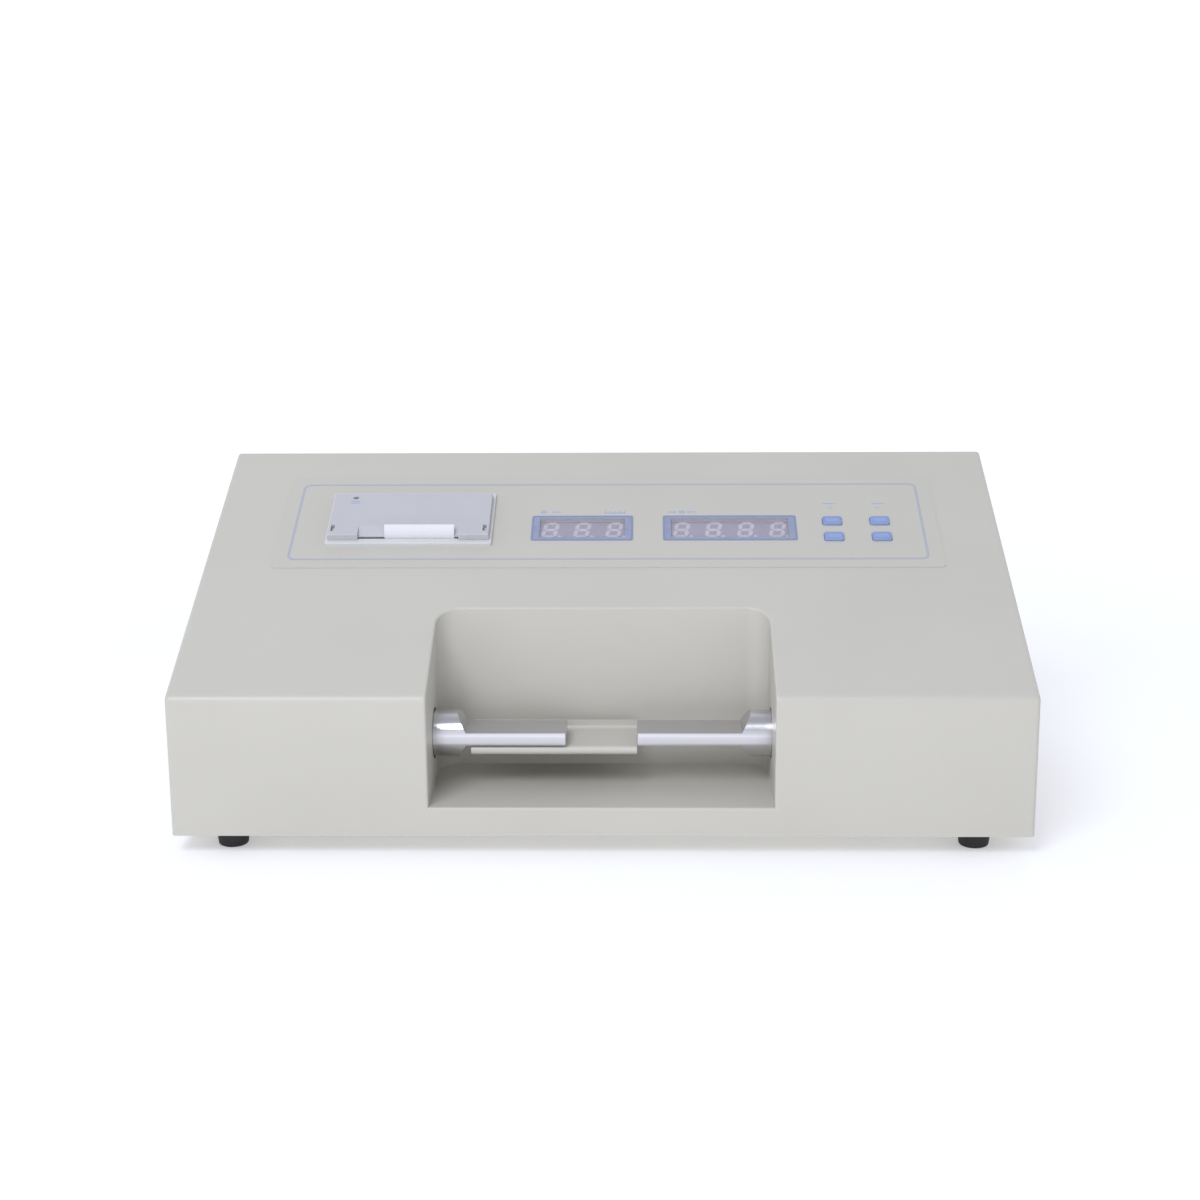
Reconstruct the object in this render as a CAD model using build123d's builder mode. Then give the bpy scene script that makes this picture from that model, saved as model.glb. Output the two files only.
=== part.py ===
from build123d import *
import math
import os

os.makedirs("parts", exist_ok=True)

# Tablet hardness tester.
# The origin is on the bench, under the middle of the casing. +X is the right-hand side as
# the user faces the tester, +Y points to its back and +Z up. All sizes are millimetres.

# ---------------------------------------------------------------- driving dimensions
# Casing
casing_width = 490.0
casing_depth = 240.0
front_height = 82.0
slope_angle = 22.0
sheet = 2.0
front_bend_radius = 5.0
side_bend_radius = 2.5
flange_width = 12.0
panel_recess = 6.0
seat_gap = 0.3

# Feet
foot_height = 12.0
foot_diameter = 20.0
foot_tip_diameter = 17.0
foot_inset_x = 31.0
foot_inset_y = 21.0
foot_recess_height = 6.0
foot_edge_radius = 1.5
foot_nut_height = 3.2

# Test well in the front and the slope
well_width = 196.0
well_depth = 79.0
well_floor_height = 17.0
well_corner_radius = 13.0
well_rim_radius = 1.5
well_hole_diameter = 30.0

# Jaws: round bars milled to flat blades
jaw_axis_setback = 45.0
jaw_axis_height = 47.3
jaw_bar_diameter = 27.0
blade_thickness = 7.3
blade_runout = 5.5
blade_edge = 0.4
cutter_overrun = 2.7
jaw_opening = 41.0
anvil_tip_x = -20.8
anvil_blade_length = 58.0
ram_blade_length = 60.5
ram_stroke = 39.0
spigot_diameter = 12.0
spigot_length = 12.0

# Tablet tray
tray_sheet = 1.2
tray_gap = 1.0
tray_front_overhang = 12.6
tray_rear_setback = 24.5
tray_lip = 4.7
tray_bend = 1.9
tray_roll_radius = 2.5
tray_roll_angle = 150.0
tray_reach = 55.0
bracket_sheet = 1.5
bracket_width = 60.0
bracket_drop = 20.0
bracket_screw_drop = 12.0
bracket_screw_spacing = 40.0

# Force frame
bed_end_gap = 9.0
bed_width = 60.0
bed_thickness = 10.0
frame_screw_x = 150.0
frame_screw_y = 15.0
post_thickness = 14.0
post_height = 79.0
gusset_end_gap = 4.0
gusset_height = 46.0
gusset_thickness = 10.0
ram_post_gap = 6.0
load_cell_length = 62.0
load_cell_height = 51.0
load_cell_width = 19.0
load_cell_slot = 2.5
load_cell_slot_offset = 15.5
load_cell_slot_reach = 36.7
load_cell_bore = 19.4
load_cell_gap = 12.0
load_bolt_head = 18.0
load_bolt_head_height = 12.0
load_bolt_reach = 14.0
load_bolt_socket = 10.0

# Running fits, on the radius
running_clearance = 0.05
journal_clearance = 0.03

# Ram drive
bush_diameter = 36.0
bush_flange_diameter = 44.0
bush_flange_thickness = 3.0
bush_length = 17.0
carriage_thickness = 16.0
carriage_width = 40.0
carriage_margin = 7.0
carriage_stop_gap = 4.0
guide_rod_diameter = 8.0
guide_rod_offset = 27.0
guide_bush_diameter = 12.0
nut_body_diameter = 20.0
nut_flange_diameter = 36.0
nut_flange_thickness = 5.0
nut_depth = 20.0
screw_diameter = 12.0
screw_bore_diameter = 14.0
screw_tip_chamfer = 1.0
screw_end_margin = 2.0
journal_diameter = 8.0
drive_plate_gap = 13.0
drive_plate_margin = 4.0
bearing_diameter = 22.0
bearing_width = 7.0
bearing_ring = 2.2
shield_depth = 0.4
gear_module = 1.0
gear_teeth = 66
pinion_teeth = 22
gear_width = 10.0
gear_clearance = 4.0
gear_hub_diameter = 16.0
gear_web = 4.0
gear_rim = 5.0
gear_hole_count = 5
gear_hole_diameter = 12.0
pinion_overlap = 1.0
backlash = 0.12
pressure_angle = 20.0
motor_size = 42.3
motor_length = 40.0
motor_chamfer = 4.0
motor_shaft_depth = 28.0
motor_boss_diameter = 22.0
motor_boss_height = 2.0
motor_shaft_diameter = 5.0
lock_nut_width = 13.0
lock_nut_thickness = 5.0
drive_side_gap = 8.0

# Limit switches
rail_thickness = 2.0
rail_height = 12.0
switch_length = 20.0
switch_height = 10.0
switch_depth = 6.0
switch_edge_radius = 0.8
flag_width = 4.0
flag_gap = 0.8

# Control panel, on the slope. A rise is a distance up the slope from the overlay's low edge.
overlay_left = -204.0
overlay_right = 207.5
overlay_length = 101.7
overlay_rear_margin = 30.85
overlay_thickness = 0.4
overlay_corner_radius = 3.0
bezel_thickness = 0.3
bezel_corner_radius = 1.5
display_height = 27.3
display_rise = 42.5
left_display_x = -14.3
left_display_width = 63.4
left_digit_count = 3
right_display_x = 77.75
right_display_width = 83.3
right_digit_count = 4
bezel_border_x = 5.0
bezel_border_s = 3.4
lens_thickness = 1.0
lens_gap = 0.2
module_depth = 9.0
module_gap = 0.4
digit_pitch = 20.0
digit_width = 9.6
digit_height = 16.8
digit_lean = 8.0
digit_rise = 44.4
point_offset = 1.2
segment_width = 2.4
segment_thickness = 0.2
segment_gap = 0.35
board_thickness = 1.6
board_stud_columns = (-48.0, 28.0, 126.0, 180.0)
board_stud_rises = (17.7, 69.7)

key_columns_x = (142.0, 171.6)
key_row_rises = (32.4, 49.8)
key_width = 12.0
key_length = 8.8
key_rise = 1.2
key_corner_radius = 1.6
key_travel = 0.6
key_side_gap = 0.25
key_flange = 1.2
key_flange_thickness = 1.0
key_stem_diameter = 4.0
key_switch_size = 6.0
key_switch_height = 4.0
plunger_diameter = 3.4
plunger_height = 1.0
lamp_diameter = 2.6
lamp_body_diameter = 4.0
lamp_rise = 65.3
stud_diameter = 5.0

# Printer, on the slope. A setback is a distance up the slope from the front of its flange.
printer_x = -121.8
printer_rise = 22.8
printer_length = 57.0
printer_flange = 2.5
printer_flange_border = 2.75
printer_corner_radius = 1.5
bay_width = 98.0
bay_setback = 2.9
bay_length = 49.0
bay_depth = 44.0
bay_wall = 2.0
cover_setback = 3.2
cover_side_margin = 1.75
cover_length = 48.0
cover_rise = 3.9
cover_gap = 0.2
cover_wall = 1.6
cover_edge_radius = 0.6
exit_width = 62.6
exit_length = 9.9
exit_gap = 2.7
ramp_step = 0.8
latch_inset = 2.7
latch_setback = 10.9
latch_slot_width = 2.4
latch_slot_length = 7.2
latch_gap = 0.25
latch_drop = 2.6
feed_lamp_inset = 13.6
feed_lamp_setback = 44.9
feed_lamp_half_width = 1.9
feed_lamp_half_length = 1.4
hinge_inset = 12.0
hinge_pin_diameter = 1.2
hinge_pin_reach = 2.5
ear_diameter = 2.2
ear_thickness = 1.6
ear_gap = 0.3
ear_headroom = 0.4
paper_width = 43.3
paper_x = -114.85
paper_thickness = 0.25
paper_height = 10.2
paper_gap = 0.15
paper_tuck = 1.6
paper_lean = 3.4
roll_diameter = 30.0
roll_core_diameter = 12.0
roll_setback = 33.4
roll_depth = 18.0
spindle_end_diameter = 6.0
spindle_shoulder = 8.0
platen_diameter = 9.0
platen_overhang = 1.0
platen_shaft_diameter = 4.0
platen_setback = 11.9
platen_depth = 8.0
gearcase_width = 14.0
gearcase_length = 17.0
gearcase_height = 22.0
gearcase_radius = 2.0
gearcase_offset = 2.0
gearcase_drop = 6.0
head_width = 48.0
head_length = 9.0
head_depth = 14.0
head_leg = 4.0
head_leg_overlap = 1.0

# Electrics
transformer_x = -125.0
transformer_rear_gap = 72.0
core_width = 66.0
core_depth = 32.0
core_height = 56.0
core_limb = 11.0
core_middle_limb = 17.6
coil_gap = 0.4
coil_corner_radius = 8.0
main_board_x = 100.0
main_board_rear_gap = 7.0
main_board_width = 180.0
main_board_depth = 100.0
main_board_rise = 10.0
standoff_diameter = 6.0
standoff_inset = 8.0
inlet_inset = 40.0
switch_spacing = 40.0
fuse_spacing = 30.0
mains_height = 38.0
inlet_width = 27.0
inlet_height = 19.6
inlet_depth = 24.0
inlet_flange_width = 50.0
inlet_flange_height = 24.0
inlet_flange_thickness = 2.5
inlet_flange_radius = 5.0
inlet_screw_spacing = 40.0
socket_wall = 2.0
socket_cut = 4.5
socket_floor_gap = 3.0
pin_length = 17.0
pin_thickness = 2.0
pin_width = 4.0
pin_spacing = 7.0
pin_stagger = 2.0
rocker_width = 12.0
rocker_height = 17.0
rocker_tilt = 8.0
rocker_gap = 0.3
rocker_end_gap = 0.6
rocker_tip = 6.0
rocker_waist = 5.0
rocker_root = 3.0
rocker_root_height = 8.0
rocker_pin_diameter = 2.0
rocker_pin_reach = 0.8
rocker_pin_end_gap = 0.2
rocker_axis_depth = 4.0
switch_bezel_border = 2.0
switch_bezel_rise = 2.0
switch_bezel_radius = 1.5
switch_body_depth = 20.0
fuse_diameter = 12.0
fuse_body_depth = 30.0
fuse_cap_diameter = 15.0
fuse_cap_height = 4.0
fuse_slot_length = 8.0
fuse_slot_width = 1.6
fuse_slot_depth = 1.2
vent_slots = 9
vent_pitch = 8.0
vent_slot_length = 40.0
vent_slot_width = 3.0
vent_x = 60.0
vent_height = 120.0

# Screws
m3_diameter = 3.0
m3_head = 5.6
m4_diameter = 4.0
m4_head = 7.6
head_height = 2.2
head_rounding = 0.7
recess_length = 3.2
recess_width = 0.8
recess_depth = 1.2
screw_hole_gap = 0.2
side_screw_places_y = (-40.0, 50.0)
front_screw_inset = 85.0
rear_screw_heights = (45.0, 140.0)
rear_screw_x = 80.0

# ---------------------------------------------------------------- derived places
slope = math.radians(slope_angle)
front_y = -casing_depth / 2
rear_y = casing_depth / 2
base_z = foot_height
top_front_z = base_z + front_height
floor_top_z = base_z + sheet
slope_plane = Plane(
    origin=(0, front_y, top_front_z),
    x_dir=(1, 0, 0),
    z_dir=(0, -math.sin(slope), math.cos(slope)),
)

side_inner_x = casing_width / 2 - sheet
flange_edge = side_inner_x - flange_width
foot_x = casing_width / 2 - foot_inset_x
foot_y = casing_depth / 2 - foot_inset_y

well_floor_z = base_z + well_floor_height
well_back_y = front_y + well_depth
jaw_y = front_y + jaw_axis_setback
jaw_z = base_z + jaw_axis_height
ram_tip_x = anvil_tip_x + jaw_opening
anvil_round_x = anvil_tip_x - anvil_blade_length - blade_runout
ram_round_x = ram_tip_x + ram_blade_length + blade_runout

bed_half_length = flange_edge - bed_end_gap
bed_top_z = floor_top_z + bed_thickness
wall_x = well_width / 2 + sheet
anvil_end_x = -wall_x - load_cell_gap
load_cell_end_x = anvil_end_x - load_cell_length
anvil_post_x = load_cell_end_x - post_thickness
gusset_end_x = gusset_end_gap - bed_half_length
# The ram drive fills the room between the well's wall and the casing's side, where its
# gaps share what its pieces and its stroke leave.
drive_pieces = post_thickness + bush_flange_thickness + carriage_thickness
drive_pieces += nut_flange_thickness + 2 * bearing_width + gear_width + lock_nut_thickness
drive_gaps = ram_post_gap + carriage_stop_gap + drive_plate_gap
drive_gaps += gear_clearance + screw_end_margin + drive_side_gap
gap_share = (side_inner_x - wall_x - drive_pieces - ram_stroke) / drive_gaps
ram_post_x = wall_x + ram_post_gap * gap_share
ram_post_end_x = ram_post_x + post_thickness
bush_start_x = ram_post_x - (bush_length - post_thickness) * gap_share
bush_flange_end_x = ram_post_end_x + bush_flange_thickness
carriage_x = bush_flange_end_x + carriage_stop_gap * gap_share + ram_stroke
carriage_end_x = carriage_x + carriage_thickness
nut_end_x = carriage_end_x + nut_flange_thickness
drive_plate_x = nut_end_x + drive_plate_gap * gap_share
drive_plate_end_x = drive_plate_x + 2 * bearing_width
gear_x = drive_plate_end_x + gear_clearance * gap_share
gear_end_x = gear_x + gear_width
screw_end_x = gear_end_x + lock_nut_thickness + screw_end_margin * gap_share
pinion_y = jaw_y + gear_module * (gear_teeth + pinion_teeth) / 2
screw_tip_x = carriage_end_x - nut_depth - ram_stroke
carriage_half_height = guide_rod_offset + carriage_margin
rail_z = jaw_z + switch_height

blade_bottom_z = jaw_z - blade_thickness / 2
tray_z = blade_bottom_z - tray_gap
tray_front_y = jaw_y - tray_front_overhang
tray_rear_y = jaw_y + tray_rear_setback

panel_y = rear_y - panel_recess
panel_inner_y = panel_y - sheet
mains_z = base_z + mains_height
inlet_x = inlet_inset - casing_width / 2
switch_x = inlet_x + switch_spacing
fuse_x = switch_x + fuse_spacing
transformer_y = panel_inner_y - transformer_rear_gap
main_board_y = panel_inner_y - main_board_rear_gap - main_board_depth / 2

# Places on the slope: s runs up it from its front edge.
overlay_high = casing_depth / math.cos(slope) - overlay_rear_margin
overlay_low = overlay_high - overlay_length
display_centre_s = overlay_low + display_rise
digit_centre_s = overlay_low + digit_rise
board_top = -sheet - module_gap - module_depth
key_rows_s = [overlay_low + rise for rise in key_row_rises]
lamp_row_s = overlay_low + lamp_rise

printer_front_s = overlay_low + printer_rise
printer_centre_s = printer_front_s + printer_length / 2
printer_width = bay_width + 2 * printer_flange_border
flange_top = overlay_thickness + printer_flange
bay_front_s = printer_front_s + bay_setback
bay_centre_s = bay_front_s + bay_length / 2
bay_inner_width = bay_width - 2 * bay_wall
bay_inner_length = bay_length - 2 * bay_wall
cover_front_s = printer_front_s + cover_setback
cover_rear_s = cover_front_s + cover_length
cover_width = printer_width - 2 * cover_side_margin
cover_base = flange_top + cover_gap
cover_top = cover_base + cover_rise
hinge_s = cover_rear_s - cover_rise / 2
hinge_height = cover_base + cover_rise / 2
hinge_offset = cover_width / 2 - hinge_inset
latch_offset = cover_width / 2 - latch_inset
latch_s = printer_front_s + latch_setback
roll_s = printer_front_s + roll_setback
platen_s = printer_front_s + platen_setback


def top_z(y, inset=0.0):
    """Height of the sloped top at y, or of the plane that lies inset inside it."""
    return top_front_z + (y - front_y) * math.tan(slope) - inset / math.cos(slope)


def on_slope(x, s, height=0.0):
    """A plane lying on the slope, s up from its front edge and height above its skin."""
    return Plane(
        origin=slope_plane.from_local_coords((x, s, height)),
        x_dir=slope_plane.x_dir,
        z_dir=slope_plane.z_dir,
    )


def beside_slope(x):
    """A plane across X at x, whose own x runs up the slope and whose y stands off it."""
    return Plane(
        origin=slope_plane.from_local_coords((x, 0, 0)),
        x_dir=slope_plane.y_dir,
        z_dir=(1, 0, 0),
    )


slope_out = Axis((0, 0, 0), tuple(slope_plane.z_dir))


def finish(piece, name):
    """Label a finished piece and write it."""
    piece.part.label = name
    export_step(piece.part, f"parts/{name}.step")


def box_between(x_low, x_high, y_low, y_high, z_low, z_high, mode=Mode.ADD):
    """A box given by its two corners, added to the current part."""
    size = (x_high - x_low, y_high - y_low, z_high - z_low)
    with Locations(((x_low + x_high) / 2, (y_low + y_high) / 2, (z_low + z_high) / 2)):
        return Box(*size, mode=mode)


def rod_x(diameter, x_low, x_high, y, z, mode=Mode.ADD):
    """A round bar along X."""
    with BuildSketch(Plane.YZ.offset(x_low)) as section:
        with Locations((y, z)):
            Circle(diameter / 2)
    return extrude(section.sketch, amount=x_high - x_low, mode=mode)


def casing_wedge(inset, overrun):
    """The casing's outline, moved in by inset at the front, top and sides, and run on by
    overrun below and behind. Its bends share their centres at every inset."""
    front = front_y + inset
    back = rear_y + overrun
    bottom = base_z - overrun
    with BuildSketch(Plane.YZ.offset(inset - casing_width / 2)) as outline:
        with BuildLine():
            Polyline(
                (front, bottom),
                (front, top_z(front, inset)),
                (back, top_z(back, inset)),
                (back, bottom),
                close=True,
            )
        make_face()
    return extrude(outline.sketch, amount=casing_width - 2 * inset)


def front_bend(part, inset):
    """The edge where the front meets the slope, on the wedge that lies inset inside."""
    corner = (front_y + inset, top_z(front_y + inset, inset))
    across = part.edges().filter_by(Axis.X)
    return across.filter_by(
        lambda e: math.dist((e.center().Y, e.center().Z), corner) < sheet / 2
    )


# ---------------------------------------------------------------- casing
with BuildPart() as housing_block:
    casing_wedge(0, 0)
    fillet(front_bend(housing_block, 0), front_bend_radius)
    outer_sides = housing_block.faces().filter_by(Axis.X)
    side_edges = outer_sides.edges().filter_by(
        lambda e: e.center().Z > base_z + sheet and e.center().Y < rear_y - sheet
    )
    fillet(side_edges, side_bend_radius)
    # The well's opening: a notch with two rounded inner corners.
    with BuildSketch(Plane.XY.offset(well_floor_z)):
        with Locations((0, front_y)):
            well_mouth = Rectangle(well_width, 2 * well_depth)
        well_corners = well_mouth.vertices().group_by(Axis.Y)[-1]
        fillet(well_corners, well_corner_radius)
    extrude(amount=casing_depth, mode=Mode.SUBTRACT)
    rim = housing_block.edges(Select.LAST).filter_by(
        lambda e: e.center().Z > well_floor_z - sheet
        and not e.is_interior
        and (
            abs(e.center().Y - front_y) < front_bend_radius
            or e.center().Z > top_front_z - front_bend_radius
        )
    )
    rim = rim.filter_by(lambda e: e.center().Z > well_floor_z + sheet or e.length > sheet)
    fillet(rim, well_rim_radius)

with BuildPart() as housing_hollow:
    casing_wedge(sheet, casing_depth)
    fillet(front_bend(housing_hollow, sheet), front_bend_radius - sheet)
    # The inside corners follow the outer bends at one sheet's thickness.
    inner_sides = housing_hollow.faces().filter_by(Axis.X)
    inner_edges = inner_sides.edges().filter_by(
        lambda e: e.center().Z > base_z + sheet and e.center().Y < rear_y
        or e.center().Z > top_z(rear_y)
    )
    fillet(inner_edges, side_bend_radius - sheet)

key_places = [(x, s) for x in key_columns_x for s in key_rows_s]
lamp_places = [(x, lamp_row_s) for x in key_columns_x]
board_stud_places = [(x, overlay_low + s) for x in board_stud_columns for s in board_stud_rises]
displays = [
    (left_display_x, left_display_width, left_digit_count),
    (right_display_x, right_display_width, right_digit_count),
]
window_height = display_height - 2 * bezel_border_s
front_screw_x = casing_width / 2 - front_screw_inset
rear_flange_y = panel_inner_y - sheet
rear_flange_top_z = top_z(rear_flange_y, sheet / 2)
bottom_screw_places = [
    (x, y)
    for x in (-side_inner_x + flange_width / 2, side_inner_x - flange_width / 2)
    for y in side_screw_places_y
] + [(x, front_y + sheet + flange_width / 2) for x in (-front_screw_x, 0, front_screw_x)]
rear_screw_places = [
    (x, z)
    for x in (-side_inner_x + flange_width / 2, side_inner_x - flange_width / 2)
    for z in [base_z + height for height in rear_screw_heights]
] + [(x, rear_flange_top_z - flange_width / 2 - sheet) for x in (-rear_screw_x, rear_screw_x)]

with BuildPart() as housing:
    add(housing_block.part)
    add(housing_hollow.part, mode=Mode.SUBTRACT)
    # Flanges for the base plate, above it along the front and the sides.
    flange_low = floor_top_z
    flange_high = flange_low + sheet
    front_inner_y = front_y + sheet
    for side in (-1, 1):
        x_ends = sorted((side * flange_edge, side * (side_inner_x + sheet / 2)))
        box_between(*x_ends, front_inner_y, rear_flange_y, flange_low, flange_high)
        box_between(
            *x_ends,
            rear_flange_y,
            panel_inner_y,
            flange_low,
            rear_flange_top_z - sheet,
        )
    box_between(
        -flange_edge,
        flange_edge,
        front_y + sheet / 2,
        front_inner_y + flange_width,
        flange_low,
        flange_high,
    )
    box_between(
        -side_inner_x,
        side_inner_x,
        rear_flange_y,
        panel_inner_y,
        rear_flange_top_z - flange_width - sheet,
        rear_flange_top_z,
    )
    # Openings in the slope for the printer, the displays, the keys and the lamps.
    with BuildSketch(on_slope(printer_x, bay_centre_s)):
        Rectangle(bay_width + 2 * seat_gap, bay_length + 2 * seat_gap)
    extrude(amount=-2 * sheet, mode=Mode.SUBTRACT)
    for centre_x, width, digit_count in displays:
        with BuildSketch(on_slope(centre_x, display_centre_s)):
            Rectangle(width - 2 * bezel_border_x, window_height)
        extrude(amount=-2 * sheet, mode=Mode.SUBTRACT)
    for key_x, key_s in key_places:
        with BuildSketch(on_slope(key_x, key_s)):
            RectangleRounded(
                key_width + 2 * key_side_gap,
                key_length + 2 * key_side_gap,
                key_corner_radius + key_side_gap,
            )
        extrude(amount=-2 * sheet, mode=Mode.SUBTRACT)
    for lamp_x, lamp_s in lamp_places:
        with BuildSketch(on_slope(lamp_x, lamp_s)):
            Circle(lamp_diameter / 2)
        extrude(amount=-2 * sheet, mode=Mode.SUBTRACT)
    # Welded studs that carry the display board.
    for stud_x, stud_s in board_stud_places:
        with BuildSketch(on_slope(stud_x, stud_s, board_top)):
            Circle(stud_diameter / 2)
        extrude(amount=-board_top - sheet / 2)
    # Screw holes in the flanges.
    for screw_x, screw_y in bottom_screw_places:
        with BuildSketch(Plane.XY.offset(flange_low)):
            with Locations((screw_x, screw_y)):
                Circle(m4_diameter / 2)
        extrude(amount=2 * sheet, mode=Mode.SUBTRACT)
    for screw_x, screw_z in rear_screw_places:
        with BuildSketch(Plane.XZ.offset(-rear_flange_y)):
            with Locations((screw_x, screw_z)):
                Circle(m4_diameter / 2)
        extrude(amount=-2 * sheet, mode=Mode.SUBTRACT)
finish(housing, "housing")

bracket_x = (anvil_tip_x - tray_reach + ram_tip_x) / 2
bracket_screw_z = tray_z - bracket_screw_drop
bracket_screw_places = [bracket_x + side * bracket_screw_spacing / 2 for side in (-1, 1)]

with BuildPart() as test_well:
    with BuildSketch(Plane.XY.offset(well_floor_z - sheet)):
        with Locations((0, front_y)):
            liner = Rectangle(well_width + 2 * sheet, 2 * (well_depth + sheet))
        fillet(liner.vertices().group_by(Axis.Y)[-1], well_corner_radius + sheet)
    extrude(amount=casing_depth)
    with BuildSketch(Plane.XY.offset(well_floor_z)):
        with Locations((0, front_y)):
            hollow = Rectangle(well_width, 2 * well_depth)
        fillet(hollow.vertices().group_by(Axis.Y)[-1], well_corner_radius)
    extrude(amount=casing_depth, mode=Mode.SUBTRACT)
    add(housing_hollow.part, mode=Mode.INTERSECT)
    rod_x(well_hole_diameter, -casing_width / 2, casing_width / 2, jaw_y, jaw_z, Mode.SUBTRACT)
    for screw_x in bracket_screw_places:
        with BuildSketch(Plane.XZ.offset(-well_back_y)):
            with Locations((screw_x, bracket_screw_z)):
                Circle(m3_diameter / 2)
        extrude(amount=-sheet, mode=Mode.SUBTRACT)
finish(test_well, "test_well")

foot_places = [(x, y) for x in (-foot_x, foot_x) for y in (-foot_y, foot_y)]
frame_screw_places = [
    (x, jaw_y + y)
    for x in (-frame_screw_x, frame_screw_x)
    for y in (-frame_screw_y, frame_screw_y)
]
standoff_x = main_board_width / 2 - standoff_inset
standoff_y = main_board_depth / 2 - standoff_inset
standoff_places = [
    (main_board_x + x, main_board_y + y)
    for x in (-standoff_x, standoff_x)
    for y in (-standoff_y, standoff_y)
]

with BuildPart() as base_plate:
    box_between(
        seat_gap - side_inner_x,
        side_inner_x - seat_gap,
        front_inner_y + seat_gap,
        panel_inner_y - seat_gap,
        base_z,
        floor_top_z,
    )
    box_between(
        seat_gap - flange_edge,
        flange_edge - seat_gap,
        rear_flange_y,
        panel_inner_y - seat_gap,
        base_z,
        floor_top_z + flange_width,
    )
    with BuildSketch(Plane.XY.offset(base_z)):
        with Locations(*bottom_screw_places, *foot_places, *frame_screw_places):
            Circle(m4_diameter / 2 + screw_hole_gap)
    extrude(amount=sheet, mode=Mode.SUBTRACT)
    # Hexagonal standoffs, pressed into the sheet, carry the main board.
    with BuildSketch(Plane.XY.offset(floor_top_z)):
        with Locations(*standoff_places):
            RegularPolygon(standoff_diameter / 2, 6)
    extrude(amount=main_board_rise)
finish(base_plate, "base_plate")

panel_top_z = top_z(panel_inner_y, sheet) - seat_gap
with BuildPart() as rear_panel:
    box_between(
        seat_gap - side_inner_x,
        side_inner_x - seat_gap,
        panel_inner_y,
        panel_y,
        base_z,
        panel_top_z,
    )
    outer_corners = rear_panel.edges().filter_by(Axis.Y).group_by(Axis.Z)[-1]
    fillet(outer_corners, sheet)
    with BuildSketch(Plane.XZ.offset(-panel_inner_y)):
        with Locations((inlet_x, mains_z)):
            Rectangle(inlet_width + 2 * seat_gap, inlet_height + 2 * seat_gap)
        with Locations(
            (inlet_x - inlet_screw_spacing / 2, mains_z),
            (inlet_x + inlet_screw_spacing / 2, mains_z),
        ):
            Circle(m3_diameter / 2)
        with Locations((switch_x, mains_z)):
            Rectangle(
                rocker_width + 2 * rocker_gap + switch_bezel_border,
                rocker_height + 2 * rocker_gap + switch_bezel_border,
            )
        with Locations((fuse_x, mains_z)):
            Circle(fuse_diameter / 2 + screw_hole_gap)
        with Locations((vent_x, vent_height)):
            with GridLocations(vent_pitch, 1, vent_slots, 1):
                SlotOverall(vent_slot_length, vent_slot_width, rotation=90)
        with Locations(*rear_screw_places):
            Circle(m4_diameter / 2 + screw_hole_gap)
    extrude(amount=-sheet, mode=Mode.SUBTRACT)
finish(rear_panel, "rear_panel")


standing = (Align.CENTER, Align.CENTER, Align.MIN)
hanging = (Align.CENTER, Align.CENTER, Align.MAX)


def pan_head(diameter, head_diameter, reach):
    """A pan-head screw at the current locations: its head stands on +Z, its shank runs
    down by reach, and a cross recess is cut in the head."""
    Cylinder(head_diameter / 2, head_height, align=standing)
    Cylinder(diameter / 2, reach, align=hanging)
    with Locations((0, 0, head_height)):
        Box(recess_length, recess_width, recess_depth, align=hanging, mode=Mode.SUBTRACT)
        Box(recess_width, recess_length, recess_depth, align=hanging, mode=Mode.SUBTRACT)


def round_heads(part, axis, far_side):
    """Round the screw heads' outer rims on the side that faces out."""
    rims = part.edges().filter_by(GeomType.CIRCLE).group_by(axis)[far_side]
    fillet(rims, head_rounding)


with BuildPart() as casing_screws:
    with Locations(*[Location((x, y, base_z), (180, 0, 0)) for x, y in bottom_screw_places]):
        pan_head(m4_diameter, m4_head, 3 * sheet)
    with Locations(*[Location((x, panel_y, z), (-90, 0, 0)) for x, z in rear_screw_places]):
        pan_head(m4_diameter, m4_head, 3 * sheet)
    round_heads(casing_screws, Axis.Z, 0)
    round_heads(casing_screws, Axis.Y, -1)
finish(casing_screws, "casing_screws")

# ---------------------------------------------------------------- feet
with BuildPart() as feet:
    for x, y in foot_places:
        with BuildSketch(Plane.XY):
            with Locations((x, y)):
                Circle(foot_tip_diameter / 2)
        with BuildSketch(Plane.XY.offset(foot_height)):
            with Locations((x, y)):
                Circle(foot_diameter / 2)
        loft()
    fillet(feet.edges().group_by(Axis.Z)[0], foot_edge_radius)
    with BuildSketch(Plane.XY):
        with Locations(*foot_places):
            Circle(m4_head / 2 + seat_gap)
    extrude(amount=foot_recess_height, mode=Mode.SUBTRACT)
    with BuildSketch(Plane.XY.offset(foot_recess_height)):
        with Locations(*foot_places):
            Circle(m4_diameter / 2 + screw_hole_gap)
    extrude(amount=foot_height, mode=Mode.SUBTRACT)
finish(feet, "feet")

with BuildPart() as foot_screws:
    with Locations(*[Location((x, y, foot_recess_height), (180, 0, 0)) for x, y in foot_places]):
        pan_head(m4_diameter, m4_head, bed_top_z - foot_recess_height - sheet)
    with BuildSketch(Plane.XY.offset(floor_top_z)):
        with Locations((-foot_x, foot_y), (foot_x, foot_y)):
            RegularPolygon(m4_head / 2, 6)
    extrude(amount=foot_nut_height)
finish(foot_screws, "foot_screws")

# ---------------------------------------------------------------- force frame
post_low_y = jaw_y - bed_width / 2
post_high_y = jaw_y + bed_width / 2
post_top_z = bed_top_z + post_height - bed_thickness

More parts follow.
